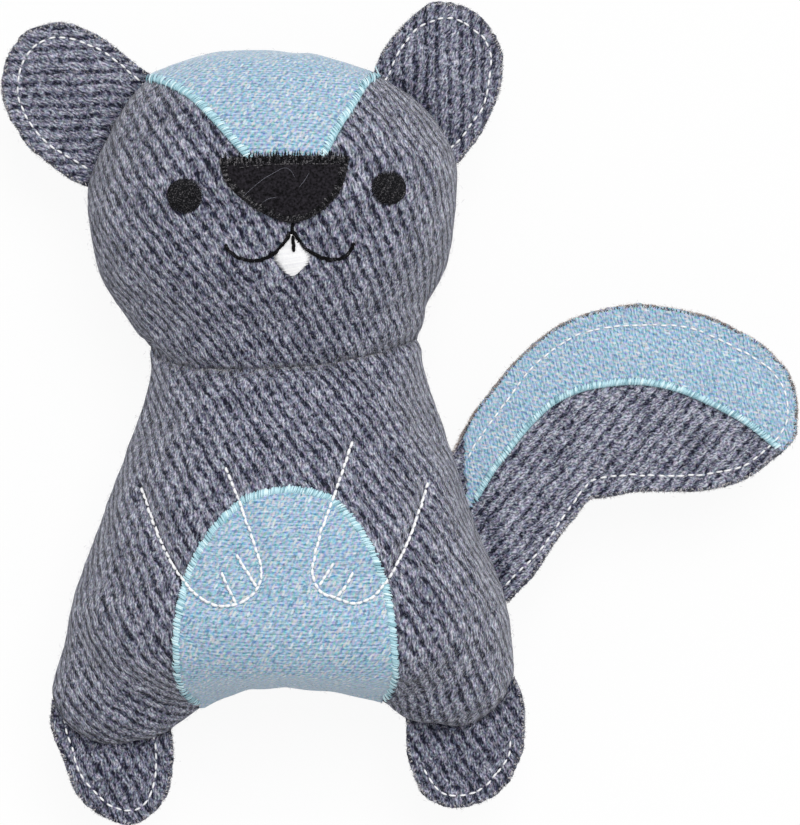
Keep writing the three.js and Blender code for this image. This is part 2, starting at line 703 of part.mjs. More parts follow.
function bellyPatch() {
  const outline = closedOutline(bellyPatchShares, bellyPatchHalfWidth, bellyPatchHeight, bellyPatchSteps);
  const column = columnOver(outline, bellyPatchOffset, bellyPatchTop - bellyPatchHeight);
  const patch = bodyPatchMatter.intersect(column).intersect(frontSide);
  const legs = legAt(-1, pieceGap).add(legAt(1, pieceGap));
  return meshOf("belly_patch", patch.subtract(legs), blueTweed());
}

// The toy
const toy = new THREE.Group();
toy.name = "squeaky_dog_toy";
toy.add(meshOf("body_front", bodySkins.front, greyWool()));
toy.add(meshOf("body_back", bodySkins.back, greyWool()));
toy.add(meshOf("body_filling_front", bodyFill.intersect(frontSide).subtract(pocket), fibreFill()));
toy.add(meshOf("body_filling_back", bodyFill.intersect(backSide).subtract(pocket), fibreFill()));
toy.add(meshOf("left_leg", leg(-1), greyWool()));
toy.add(meshOf("right_leg", leg(1), greyWool()));
toy.add(bellyPatch(), squeaker(), head(), tail());
toy.add(foot("left_foot", -1, leftFootShares), foot("right_foot", 1, rightFootShares));

export default toy;
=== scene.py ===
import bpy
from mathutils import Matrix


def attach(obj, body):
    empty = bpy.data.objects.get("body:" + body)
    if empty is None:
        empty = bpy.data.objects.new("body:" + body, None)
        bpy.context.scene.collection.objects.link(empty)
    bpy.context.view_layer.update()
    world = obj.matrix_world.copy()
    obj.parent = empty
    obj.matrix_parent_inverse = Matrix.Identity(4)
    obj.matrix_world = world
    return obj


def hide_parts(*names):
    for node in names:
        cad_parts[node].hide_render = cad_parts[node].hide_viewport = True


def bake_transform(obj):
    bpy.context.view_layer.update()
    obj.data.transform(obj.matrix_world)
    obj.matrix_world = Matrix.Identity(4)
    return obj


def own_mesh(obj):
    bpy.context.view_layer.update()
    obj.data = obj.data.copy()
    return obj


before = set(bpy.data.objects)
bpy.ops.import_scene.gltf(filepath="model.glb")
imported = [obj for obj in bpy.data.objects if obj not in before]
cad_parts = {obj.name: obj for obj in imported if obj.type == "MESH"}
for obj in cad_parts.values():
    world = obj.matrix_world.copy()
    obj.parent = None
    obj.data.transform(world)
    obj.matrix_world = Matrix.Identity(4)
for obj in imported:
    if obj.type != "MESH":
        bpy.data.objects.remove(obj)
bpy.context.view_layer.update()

import math

import bmesh
import bpy
import numpy as np
from mathutils import Vector
from mathutils.bvhtree import BVHTree
from mathutils.geometry import delaunay_2d_cdt

# ---------------------------------------------------------------- camera, floor and light
# The toy lies on its back on a plain white table and is seen from straight above, from far enough
# away that its sides hardly show. The table keeps a faint shadow, and the light is soft and even.
photo_pixel = 0.0003
photo_rows = 825
seam_height = 0.030
table_height = -0.0003
table_glow_share = 0.93
camera_spot = Vector((0.0333, 0.05625, 4.0))


def new_object(name, data):
    made = bpy.data.objects.new(name, data)
    bpy.context.scene.collection.objects.link(made)
    return made


def linear(red, green, blue):
    """A colour of 0 to 255 a channel as a shader takes it."""
    shares = [value / 255 for value in (red, green, blue)]
    return tuple(s / 12.92 if s <= 0.04045 else ((s + 0.055) / 1.055) ** 2.4 for s in shares) + (1.0,)


def fresh_material(name):
    made = bpy.data.materials.new(name)
    made.use_nodes = True
    made.node_tree.nodes.clear()
    return made, made.node_tree


def add_node(tree, kind, sockets=(), **settings):
    """A new node's outputs. Each of its sockets gets a value, or a link from another node's output."""
    node = tree.nodes.new(kind)
    for key, value in settings.items():
        setattr(node, key, value)
    for key, value in dict(sockets).items():
        if isinstance(value, bpy.types.NodeSocket):
            tree.links.new(value, node.inputs[key])
        else:
            node.inputs[key].default_value = value
    return node.outputs


def math_node(tree, operation, *values):
    return add_node(tree, "ShaderNodeMath", enumerate(values), operation=operation)[0]


camera_lens = bpy.data.cameras.new("camera")
camera_lens.sensor_width = 36.0
camera_lens.lens = camera_lens.sensor_width * (camera_spot.z - seam_height) / (photo_rows * photo_pixel)
camera_lens.clip_end = 30.0
camera = new_object("camera", camera_lens)
camera.location = camera_spot
bpy.context.scene.camera = camera
bpy.context.scene.view_settings.view_transform = "Standard"

table_material, tree = fresh_material("table_white")
table_paint = add_node(tree, "ShaderNodeBsdfDiffuse", {"Color": linear(240, 240, 240)})[0]
table_glow = add_node(tree, "ShaderNodeEmission", {"Color": (1, 1, 1, 1)})[0]
rays = add_node(tree, "ShaderNodeLightPath")
seen_rays = rays["Is Camera Ray"]
for kind in ("Is Glossy Ray", "Is Transmission Ray"):
    seen_rays = math_node(tree, "MAXIMUM", seen_rays, rays[kind])
glow_share = math_node(tree, "MULTIPLY", seen_rays, table_glow_share)
table_mix = add_node(tree, "ShaderNodeMixShader", {0: glow_share, 1: table_paint, 2: table_glow})[0]
add_node(tree, "ShaderNodeOutputMaterial", {"Surface": table_mix})

bpy.ops.object.select_all(action="DESELECT")
bpy.ops.mesh.primitive_plane_add(size=8.0, location=(camera_spot.x, camera_spot.y, table_height))
table = bpy.context.active_object
table.name = "table"
table.data.materials.append(table_material)

room = bpy.data.worlds.new("room")
room.use_nodes = True
room_light = room.node_tree.nodes["Background"].inputs
room_light["Color"].default_value = (1, 1, 1, 1)
room_light["Strength"].default_value = 0.62
bpy.context.scene.world = room
soft_lamp = bpy.data.lights.new("soft_lamp", "SUN")
soft_lamp.energy = 1.75
soft_lamp.angle = math.radians(35)
new_object("soft_lamp", soft_lamp).rotation_euler = (math.radians(-26), math.radians(12), 0)

# ---------------------------------------------------------------- stuffed cloth of head, body and legs
# One stuffed form of grey wool twill: a front cloth and a back cloth, sewn along the side seam and
# at the neck, with the legs drawn out as the body's lower corners and the arms drawn on by stitches.
cloth_thickness = 0.0010
weave_voxel = 0.0032
trace_step = 0.002
traced_origin = (289, 600)
neck_trace = [
    (151, 345), (158, 356), (182, 366), (217, 369), (260, 369), (321, 365), (358, 358), (390, 350),
    (421, 338),
]
arm_traces = [
    [
        (142, 487), (155, 525), (166, 551), (185, 582), (196, 593), (207, 601), (222, 606), (237, 604),
        (250, 597), (258, 588), (262, 577), (261, 564), (254, 541), (241, 505), (226, 468),
    ],
    [
        (428, 483), (415, 522), (402, 554), (389, 577), (374, 595), (354, 603), (337, 598), (322, 592),
        (314, 580), (313, 564), (320, 536), (335, 493), (352, 443),
    ],
    [(222, 572), (229, 588), (236, 603)],
    [(237, 554), (247, 571), (257, 587)],
    [(333, 563), (326, 575), (318, 586)],
    [(353, 572), (345, 585), (337, 597)],
]
# Creases where the flaps meet the head and body: shade falls in them and is painted into the wool.
crease_shade_traces = {
    "left_ear": [(146, 80), (133, 93), (118, 119), (104, 148), (88, 184)],
    "right_ear": [(396, 84), (413, 97), (433, 117)],
    "left_foot": [(53, 700), (66, 724), (85, 739), (110, 745), (135, 743), (153, 736), (171, 727)],
    "right_foot": [(514, 676), (505, 692), (495, 707), (479, 721), (455, 727), (432, 723), (407, 717)],
    "tail": [(478, 500), (488, 530), (499, 565), (509, 602)],
}
outline_trace = [
    (250, 53), (300, 56), (340, 64), (377, 77), (391, 83), (412, 97), (433, 117), (446, 137),
    (456, 160), (456, 200), (453, 225), (450, 252), (443, 276), (430, 298), (422, 316), (420, 338),
    (422, 360), (427, 380), (435, 403), (446, 433), (459, 475), (474, 520), (490, 560), (503, 590),
    (510, 618), (513, 650), (514, 676), (505, 692), (495, 707), (479, 721), (455, 727), (432, 723),
    (407, 719), (394, 712), (380, 702), (350, 692), (310, 687), (285, 684), (270, 682), (262, 682),
    (250, 686), (220, 697), (202, 708), (186, 720), (171, 729), (153, 737), (135, 743), (110, 745),
    (85, 739), (66, 724), (54, 700), (53, 680), (62, 652), (69, 622), (77, 588), (92, 544), (109, 498),
    (124, 460), (138, 421), (148, 388), (151, 360), (148, 345), (134, 328), (113, 299), (99, 273),
    (92, 238), (88, 208), (87, 186), (97, 160), (113, 130), (128, 103), (149, 80), (176, 67), (205, 57),
]


def seam_spots(trace):
    """Pixels of the photograph as places on the plane of the side seam."""
    spots = np.array(trace, float)
    column, row = traced_origin
    return np.stack([(spots[:, 0] - column) * photo_pixel, (row - spots[:, 1]) * photo_pixel], 1)


def run_along(line):
    """How far along a line each of its points lies."""
    return np.concatenate([[0], np.cumsum(np.linalg.norm(np.diff(line, axis=0), axis=1))])


def at_runs(line, run, places):
    return np.stack([np.interp(places, run, line[:, k]) for k in range(line.shape[1])], -1)


def drawn_line(spots, step, closed=False):
    """A smooth line through the spots, with even steps."""
    count = len(spots)
    fine = []
    for i in range(count if closed else count - 1):
        before = spots[i - 1] if closed or i > 0 else 2 * spots[0] - spots[1]
        here, there = spots[i], spots[(i + 1) % count]
        after = spots[(i + 2) % count] if closed or i + 2 < count else 2 * spots[-1] - spots[-2]
        bow = 2 * before - 5 * here + 4 * there - after
        twist = 3 * here - before - 3 * there + after
        for share in np.arange(0, 1, 0.05):
            fine.append(0.5 * (2 * here + (there - before) * share + bow * share**2 + twist * share**3))
    fine.append(spots[0] if closed else spots[-1])
    fine = np.array(fine)
    run = run_along(fine)
    places = np.linspace(0, run[-1], max(2, round(run[-1] / step)) + 1)
    return at_runs(fine, run, places[:-1] if closed else places)


def line_distance(points, line, closed=False):
    """Distance of each point from a line of short straight runs."""
    ends = np.roll(line, -1, 0) if closed else line[1:]
    starts = line if closed else line[:-1]
    nearest = np.full(len(points), 1e9)
    for start, end in zip(starts, ends):
        run = end - start
        share = np.clip(((points - start) @ run) / max(run @ run, 1e-18), 0, 1)
        gap = points - start - share[:, None] * run
        nearest = np.minimum(nearest, np.einsum("ij,ij->i", gap, gap))
    return np.sqrt(nearest)


def within(points, ring):
    """True for each point inside a closed ring."""
    inside = np.zeros(len(points), bool)
    for (ax, ay), (bx, by) in zip(ring, np.roll(ring, -1, 0)):
        if ay != by:
            straddles = (ay > points[:, 1]) != (by > points[:, 1])
            inside ^= straddles & (points[:, 0] < (bx - ax) * (points[:, 1] - ay) / (by - ay) + ax)
    return inside


def unit(rows):
    return rows / np.maximum(np.linalg.norm(rows, axis=-1, keepdims=True), 1e-12)


def ahead_of(line, closed=False):
    """The way that a line runs at each of its points."""
    return unit(np.roll(line, -1, 0) - np.roll(line, 1, 0) if closed else np.gradient(line, axis=0))


def aside(ahead):
    """The way to the right of a way ahead."""
    return np.stack([ahead[:, 1], -ahead[:, 0]], 1)


def nearness(gap, reach):
    """1 where there is no gap, fading to nothing over the reach."""
    return np.exp(-((gap / reach) ** 2))


def rows_of(collection, field, width, kind=np.float32):
    """One field of every vertex, edge, face or corner, as rows of numbers."""
    values = np.empty(len(collection) * width, kind)
    collection.foreach_get(field, values)
    return values.reshape(-1, width).astype(float if kind is np.float32 else kind)


def spots_of(piece):
    return rows_of(piece.data.vertices, "co", 3)


def normals_of(piece):
    return rows_of(piece.data.vertex_normals, "vector", 3)


def put_spots(piece, places):
    piece.data.vertices.foreach_set("co", places.astype(np.float32).ravel())
    piece.data.update()


def take(piece):
    bpy.ops.object.select_all(action="DESELECT")
    piece.select_set(True)
    bpy.context.view_layer.objects.active = piece


def finish_modifier(piece, kind, **settings):
    change = piece.modifiers.new(kind.lower(), kind)
    for key, value in settings.items():
        setattr(change, key, value)
    take(piece)
    bpy.ops.object.modifier_apply(modifier=change.name)


def welded_copy(name, nodes):
    shell = bmesh.new()
    for node in nodes:
        shell.from_mesh(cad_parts[node].data)
    bmesh.ops.remove_doubles(shell, verts=shell.verts, dist=1e-6)
    bmesh.ops.recalc_face_normals(shell, faces=shell.faces)
    data = bpy.data.meshes.new(name)
    shell.to_mesh(data)
    shell.free()
    return new_object(name, data)


def soft_noise(points, size, seed):
    """Smooth random waves between about -1 and 1, the same on each run."""
    waves, tallest = 14, 3.7
    dice = np.random.default_rng(seed)
    total = np.zeros(len(points))
    for _ in range(waves):
        way = dice.normal(size=3)
        way = way / np.linalg.norm(way) * dice.uniform(0.6, 1.5) * 2 * math.pi / size
        total += np.sin(points @ way + dice.uniform(0, 2 * math.pi))
    return total / tallest


neck_line = drawn_line(seam_spots(neck_trace), trace_step)
arm_lines = [drawn_line(seam_spots(trace), trace_step) for trace in arm_traces]


def above_neck_seam(places):
    return places[:, 1] - np.interp(places[:, 0], neck_line[:, 0], neck_line[:, 1])


def from_arm_seams(places):
    return np.min([line_distance(places[:, :2], line) for line in arm_lines], 0)


def above_side_seam(places):
    return places[:, 2] - seam_height


stuffed_nodes = [
    "body_front", "body_back", "body_filling_front", "body_filling_back", "head_front", "head_back",
    "head_filling", "left_leg", "right_leg",
]
stuffed = welded_copy("stuffed_cloth", stuffed_nodes)
finish_modifier(stuffed, "REMESH", mode="VOXEL", voxel_size=weave_voxel)
outer = bmesh.new()
outer.from_mesh(stuffed.data)
seen, largest = set(), []
for start in outer.verts:
    if start in seen:
        continue
    group, queue = [start], [start]
    seen.add(start)
    while queue:
        for edge in queue.pop().link_edges:
            for vert in edge.verts:
                if vert not in seen:
                    seen.add(vert)
                    group.append(vert)
                    queue.append(vert)
    if len(group) > len(largest):
        largest = group
kept = set(largest)
bmesh.ops.delete(outer, geom=[v for v in outer.verts if v not in kept], context="VERTS")
outer.to_mesh(stuffed.data)
outer.free()
finish_modifier(stuffed, "SMOOTH", factor=0.5, iterations=9)

# The wadding swells the cloth a little between its seams, which hold still.
last_moment = 20
furthest_swell = 0.0014
neck_hold, side_hold, arm_hold = 0.0022, 0.0018, 0.0018
arm_seams_above = 0.045
spots = spots_of(stuffed)
on_neck = np.abs(above_neck_seam(spots)) < neck_hold
on_side = np.abs(above_side_seam(spots)) < side_hold
on_arm = (from_arm_seams(spots) < arm_hold) & (spots[:, 2] > arm_seams_above)
sewn = stuffed.vertex_groups.new(name="sewn")
for held, weight in ((on_side | on_neck, 1.0), (on_arm & ~on_neck, 0.5)):
    sewn.add([int(i) for i in np.flatnonzero(held)], weight, "REPLACE")
swelling = stuffed.modifiers.new("swelling", "CLOTH")
for key, value in dict(
    quality=4, mass=0.3, tension_stiffness=12, compression_stiffness=12, bending_stiffness=3.0,
    shrink_min=-0.01, use_pressure=True, uniform_pressure_force=4, vertex_group_mass="sewn",
).items():
    setattr(swelling.settings, key, value)
swelling.settings.effector_weights.gravity = 0
swelling.point_cache.frame_start = 1
swelling.point_cache.frame_end = last_moment
for moment in range(1, last_moment + 1):
    bpy.context.scene.frame_set(moment)
swollen = stuffed.evaluated_get(bpy.context.evaluated_depsgraph_get())
moves = spots_of(swollen) - spots
stuffed.modifiers.remove(swelling)
stuffed.vertex_groups.remove(sewn)
bpy.context.scene.frame_set(1)
reach = np.linalg.norm(moves, axis=1)
moves *= (furthest_swell * np.tanh(reach / furthest_swell) / np.maximum(reach, 1e-9))[:, None]
edges = rows_of(stuffed.data.edges, "vertices", 2, np.int32)
degree = np.bincount(edges.ravel(), minlength=len(spots))[:, None]
for _ in range(3):
    total = np.zeros_like(moves)
    np.add.at(total, edges[:, 0], moves[edges[:, 1]])
    np.add.at(total, edges[:, 1], moves[edges[:, 0]])
    moves = 0.5 * moves + 0.5 * total / degree
put_spots(stuffed, spots + moves)
finish_modifier(stuffed, "SUBSURF", levels=1, render_levels=1)


def groove(gap, depth, reach):
    """How far a seam draws the cloth in."""
    return -depth * nearness(gap, reach)


def ridge(gap, height):
    """How far the cloth stands up beside a seam, most of all 6 mm from it."""
    return height * nearness(gap - 0.006, 0.004)


lowest_cloth = 0.0004
arms_from, arms_fade = 0.040, 0.012
spots = spots_of(stuffed)
neck_gap, arm_gap = above_neck_seam(spots), from_arm_seams(spots)
upper = np.clip((spots[:, 2] - arms_from) / arms_fade, 0, 1)
push = groove(neck_gap, depth=0.0019, reach=0.0019) + ridge(neck_gap, height=0.0010)
push += upper * (ridge(arm_gap, height=0.0005) + groove(arm_gap, depth=0.0011, reach=0.0016))
push += groove(above_side_seam(spots), depth=0.0008, reach=0.0014)
push += 0.00035 * soft_noise(spots, 0.030, seed=3) + 0.00018 * soft_noise(spots, 0.011, seed=4)
spots += normals_of(stuffed) * push[:, None]
spots[:, 2] = np.maximum(spots[:, 2], lowest_cloth)
put_spots(stuffed, spots)
take(stuffed)
bpy.ops.object.mode_set(mode="EDIT")
bpy.ops.mesh.select_all(action="SELECT")
bpy.ops.mesh.bisect(plane_co=(0, 0, seam_height), plane_no=(0, 0, 1))
bpy.ops.object.mode_set(mode="OBJECT")

# The side seam is drawn out to its line in the photograph, and the cloth near it follows.
seam_allowance = 0.0006
furthest_draw = 0.005
draw_reach = 0.020
draw_softness = 0.0015
neck_width = 0.0008
outline = drawn_line(seam_spots(outline_trace), 0.001, closed=True)
outline += aside(ahead_of(outline, closed=True)) * seam_allowance
spots = spots_of(stuffed)
rim = spots[np.abs(above_side_seam(spots)) < 1e-6]
rim_gaps = outline[None, :, :] - rim[:, None, :2]
nearest = np.argmin(np.einsum("ijk,ijk->ij", rim_gaps, rim_gaps), 1)
rim_moves = rim_gaps[np.arange(len(rim)), nearest]
rim_moves *= np.minimum(1, furthest_draw / np.maximum(np.linalg.norm(rim_moves, axis=1), 1e-9))[:, None]
for chunk in np.array_split(np.arange(len(spots)), 40):
    gaps = np.linalg.norm(spots[chunk, None, :] - rim[None, :, :], axis=2)
    shares = 1 / (gaps**2 + draw_softness**2) ** 1.5
    moves = (shares @ rim_moves) / shares.sum(1)[:, None]
    spots[chunk, :2] += moves * nearness(gaps.min(1), draw_reach)[:, None]
neck_gap = above_neck_seam(spots)
near = np.abs(neck_gap) < neck_width
spots[near, 1] -= neck_gap[near]
put_spots(stuffed, spots)


def crease_shares(flat, names, reach):
    """0 to 1: how far each point lies in a crease, where painted shade darkens the wool."""
    lines = [drawn_line(seam_spots(crease_shade_traces[name]), trace_step) for name in names]
    return nearness(np.min([line_distance(flat, line) for line in lines], 0), reach)


# The crease_shade attribute darkens the wool in its shader: painted shade.
def mark_painted_shade(piece, shares):
    crease_shade = piece.data.attributes.new("crease_shade", "FLOAT", "POINT")
    crease_shade.data.foreach_set("value", np.asarray(shares, np.float32))


# Painted shade on the stuffed cloth: a little in the neck crease, more where the flaps' roots meet the
# side seam.
seam_crease_shade = nearness(above_side_seam(spots), 0.005) * crease_shares(spots[:, :2], list(crease_shade_traces), 0.0025)
mark_painted_shade(stuffed, np.clip(0.1 * nearness(neck_gap, 0.0018) + 0.4 * seam_crease_shade, 0, 1))


def parted(whole, chosen, name):
    """The chosen faces of a cloth become a piece of their own."""
    take(whole)
    bpy.ops.object.mode_set(mode="EDIT")
    bpy.ops.mesh.select_all(action="DESELECT")
    bpy.ops.object.mode_set(mode="OBJECT")
    whole.data.polygons.foreach_set("select", chosen(rows_of(whole.data.polygons, "center", 3)))
    bpy.ops.object.mode_set(mode="EDIT")
    bpy.ops.mesh.select_mode(type="FACE")
    bpy.ops.mesh.separate(type="SELECTED")
    bpy.ops.object.mode_set(mode="OBJECT")
    piece = [o for o in bpy.context.selected_objects if o is not whole][0]
    piece.name = name
    return piece


def corners_of(data):
    return rows_of(data.loops, "vertex_index", 1, np.int32)[:, 0]


def spread_weave(piece, facing):
    """The cloth is laid out flat, and its threads are lined up with the toy's own upright."""
    take(piece)
    bpy.ops.object.mode_set(mode="EDIT")
    bpy.ops.mesh.select_all(action="SELECT")
    bpy.ops.uv.unwrap(method="ANGLE_BASED", margin=0.0)
    bpy.ops.object.mode_set(mode="OBJECT")
    corners = corners_of(piece.data)
    layer = piece.data.uv_layers.active.data
    flat = rows_of(layer, "uv", 2)
    places = spots_of(piece)[corners]
    weight = np.clip(normals_of(piece)[corners][:, 2] * facing, 0, 1) ** 3 + 1e-6
    goal = places[:, 0] + 1j * places[:, 1]
    goal_middle = (weight * goal).sum() / weight.sum()
    tries = []
    for sign in (1, -1):
        cloth = flat[:, 0] + sign * 1j * flat[:, 1]
        cloth_middle = (weight * cloth).sum() / weight.sum()
        turn = (weight * np.conj(cloth - cloth_middle) * (goal - goal_middle)).sum()
        turn /= (weight * np.abs(cloth - cloth_middle) ** 2).sum()
        laid = turn * (cloth - cloth_middle) + goal_middle
        tries.append(((weight * np.abs(laid - goal) ** 2).sum(), laid))
    laid = min(tries, key=lambda one: one[0])[1]
    layer.foreach_set("uv", np.stack([laid.real, laid.imag], 1).astype(np.float32).ravel())


def along(tree, cloth, angle, wide, long):
    """The cloth's own coordinates, turned by an angle and counted in grains so wide and long."""
    turn = {"Vector": cloth, "Angle": math.radians(angle)}
    turned = add_node(tree, "ShaderNodeVectorRotate", turn, rotation_type="Z_AXIS")[0]
    grain = {"Vector": turned, "Scale": (1 / wide, 1 / long, 1.0)}
    return add_node(tree, "ShaderNodeMapping", grain)[0]


def noise(tree, where, detail, scale=1.0, roughness=0.5, dimensions="2D"):
    sockets = {"Vector": where, "Scale": scale, "Detail": detail, "Roughness": roughness}
    return add_node(tree, "ShaderNodeTexNoise", sockets, noise_dimensions=dimensions)


def rib_wave(tree, where, **sockets):
    """Light and dark rows across a cloth."""
    sockets = {"Vector": where, "Scale": 1.0} | {key.replace("_", " "): sockets[key] for key in sockets}
    bands = dict(wave_type="BANDS", bands_direction="Y", wave_profile="SIN")
    return add_node(tree, "ShaderNodeTexWave", sockets, **bands)["Fac"]


def weighed(tree, source, centre, gain, onto):
    """A tone plus another pattern's distance from its centre, times a gain."""
    return math_node(tree, "MULTIPLY_ADD", math_node(tree, "SUBTRACT", source, centre), gain, onto)


def colour_ramp(tree, tone, stops, interpolation="LINEAR"):
    node = tree.nodes.new("ShaderNodeValToRGB")
    node.color_ramp.interpolation = interpolation
    while len(node.color_ramp.elements) < len(stops):
        node.color_ramp.elements.new(0.5)
    for element, (place, colour) in zip(node.color_ramp.elements, stops):
        element.position = place
        element.color = linear(*colour)
    tree.links.new(tone, node.inputs[0])
    return node.outputs[0]


def mixed(tree, share, under, over, blend="SOFT_LIGHT"):
    sockets = {0: share, "A": under, "B": over}
    return add_node(tree, "ShaderNodeMix", sockets, data_type="RGBA", blend_type=blend)["Result"]


def finish_surface(tree, colour, relief, strength, distance, sockets):
    """The surface itself: its colour, a relief of that strength and distance, and its finish."""
    heights = {"Height": relief, "Strength": strength, "Distance": distance}
    raised = add_node(tree, "ShaderNodeBump", heights)[0]
    looks = {"Base Color": colour, "Normal": raised} | sockets
    surface = add_node(tree, "ShaderNodeBsdfPrincipled", looks)[0]
    add_node(tree, "ShaderNodeOutputMaterial", {"Surface": surface})


def wool_twill(name, shade, depth, stroke):
    """Grey marled wool: ribs that slant down to the right, with broken dark furrows between them."""
    made, tree = fresh_material(name)
    spread = add_node(tree, "ShaderNodeUVMap")[0]
    wander = {0: noise(tree, spread, 2.5, scale=150.0)["Color"], 1: (0.5, 0.5, 0.5)}
    centred = add_node(tree, "ShaderNodeVectorMath", wander, operation="SUBTRACT")[0]
    small = add_node(tree, "ShaderNodeVectorMath", {0: centred, "Scale": 0.0022}, operation="SCALE")[0]
    bent = add_node(tree, "ShaderNodeVectorMath", {0: spread, 1: small}, operation="ADD")[0]
    ribs = rib_wave(tree, along(tree, bent, 56, 0.0108, 0.0108), Distortion=0.0)
    edges = {"Value": ribs, "From Min": 0.60, "From Max": 0.06}
    valley = add_node(tree, "ShaderNodeMapRange", edges, interpolation_type="SMOOTHSTEP")[0]
    breaks = noise(tree, along(tree, bent, 62, 0.0019, 0.0024), 1.0)[0]
    edges = {"Value": breaks, "From Min": 0.32, "From Max": 0.62, "To Min": 0.2, "To Max": 1.0}
    broken = add_node(tree, "ShaderNodeMapRange", edges)[0]
    furrow = math_node(tree, "MULTIPLY", valley, broken)
    fibres = noise(tree, along(tree, bent, -12, 0.00056, stroke), 2.0, roughness=0.6)[0]
    patches = noise(tree, along(tree, bent, 30, 0.0050, 0.0080), 2.0)[0]
    strays = noise(tree, along(tree, bent, 14, 0.00050, 0.00075), 2.0)[0]
    # Painted shade: the crease_shade attribute darkens the wool in creases.
    painted_crease_shade = add_node(tree, "ShaderNodeAttribute", attribute_name="crease_shade")["Fac"]
    tone = 0.5 + shade
    for source, centre, gain in (
        (fibres, 0.5, 1.45), (strays, 0.5, 0.80), (patches, 0.5, 0.45),
        (furrow, 0.27, -depth), (painted_crease_shade, 0.0, -0.30),
    ):
        tone = weighed(tree, source, centre, gain, tone)
    greys = [
        (0.06, (28, 30, 44)), (0.26, (60, 62, 79)), (0.47, (107, 109, 126)), (0.64, (136, 138, 154)),
        (0.84, (182, 184, 200)), (1.0, (214, 216, 229)),
    ]
    dyes = noise(tree, along(tree, bent, -12, 0.0008, 0.0014), 1.0)["Color"]
    dyed = mixed(tree, 0.3, colour_ramp(tree, tone, greys), dyes)
    wool = {"Roughness": 0.95, "Specular IOR Level": 0.12, "Sheen Weight": 0.4, "Sheen Roughness": 0.3}
    finish_surface(tree, dyed, tone, 0.8, 0.0007, wool)
    return made


def dress(piece, material):
    piece.data.materials.clear()
    piece.data.materials.append(material)


body_wool = wool_twill("grey_wool_twill", shade=-0.02, depth=0.50, stroke=0.0018)


def on_head(middles):
    return above_neck_seam(middles) > 0


def in_front(middles):
    return above_side_seam(middles) > 0


head_skin = parted(stuffed, lambda middles: in_front(middles) & on_head(middles), "head_cloth_front")
body_skin = parted(stuffed, lambda middles: in_front(middles) & ~on_head(middles), "body_cloth_front")
head_back_skin = parted(stuffed, on_head, "head_cloth_back")
body_back_skin = stuffed
body_back_skin.name = "body_cloth_back"
for skin, facing in ((head_skin, 1), (body_skin, 1), (head_back_skin, -1), (body_back_skin, -1)):
    spread_weave(skin, facing)
    dress(skin, body_wool)

# ---------------------------------------------------------------- tweed patches
# A belly patch and a forehead patch of light blue tweed lie on the grey cloth. Each is cut to shape,
# laid on the front cloth before stuffing, and sewn round with a dense satin border.
patch_thickness = 0.0007
patch_lift = 0.0001
rim_off_seam = 0.0004
border_inset = 0.0012
belly_trace = [
    (195, 703), (180, 690), (174, 665), (174, 630), (181, 590), (192, 560), (212, 527), (240, 500),
    (265, 490), (294, 487), (327, 494), (350, 513), (370, 543), (384, 573), (392, 603), (396, 641),
    (398, 670), (394, 689), (386, 701),
]
belly_bottom_trace = [(384, 725), (204, 725)]
blaze_left_trace = [(149, 79), (163, 82), (188, 94), (208, 112), (228, 134), (249, 158)]
blaze_right_trace = [(322, 158), (338, 127), (350, 109), (363, 87), (376, 74)]
blaze_crown_trace = [(400, 30), (290, 20), (140, 40)]
belly_top = drawn_line(seam_spots(belly_trace), 0.001)
belly_top += aside(ahead_of(belly_top)) * border_inset
belly_ring = np.concatenate([belly_top, seam_spots(belly_bottom_trace)])
blaze_sides = [drawn_line(seam_spots(trace), 0.001) for trace in (blaze_left_trace, blaze_right_trace)]
blaze_ring = np.concatenate(blaze_sides + [seam_spots(blaze_crown_trace)])


def seen_spots(places):
    """Where each point of the toy falls on the seam's plane, seen from the camera."""
    share = (camera_spot.z - seam_height) / (camera_spot.z - places[:, 2])
    across = camera_spot.x + (places[:, 0] - camera_spot.x) * share
    return np.stack([across, camera_spot.y + (places[:, 1] - camera_spot.y) * share], 1)


def keep_faces(data, chosen, rim_rounds=0):
    """Only the chosen faces stay, and the rounds of smoothing even out the cut edge."""
    cut = bmesh.new()
    cut.from_mesh(data)
    cut.faces.ensure_lookup_table()
    dropped = [cut.faces[int(i)] for i in np.flatnonzero(~chosen)]
    bmesh.ops.delete(cut, geom=dropped, context="FACES")
    rim = [v for v in cut.verts if v.is_boundary and abs(v.co.z - seam_height) > rim_off_seam]
    for _ in range(rim_rounds):
        drawn = {}
        for vert in rim:
            beside = [e.other_vert(vert).co for e in vert.link_edges if e.is_boundary]
            drawn[vert] = vert.co * 0.5 + sum(beside, Vector()) / len(beside) * 0.5
        for vert, place in drawn.items():
            vert.co = place
    cut.to_mesh(data)
    cut.free()


def patch_of(skin, ring, name, lift, thickness):
    """A second cloth over the part of a skin inside the ring, laid on it and given its thickness."""
    piece = new_object(name, skin.data.copy())
    put_spots(piece, spots_of(piece) + normals_of(piece) * lift)
    middles = rows_of(piece.data.polygons, "center", 3)
    keep_faces(piece.data, within(seen_spots(middles), ring), rim_rounds=8)
    finish_modifier(piece, "SOLIDIFY", thickness=thickness, offset=1.0)
    piece.data.shade_smooth()
    return piece


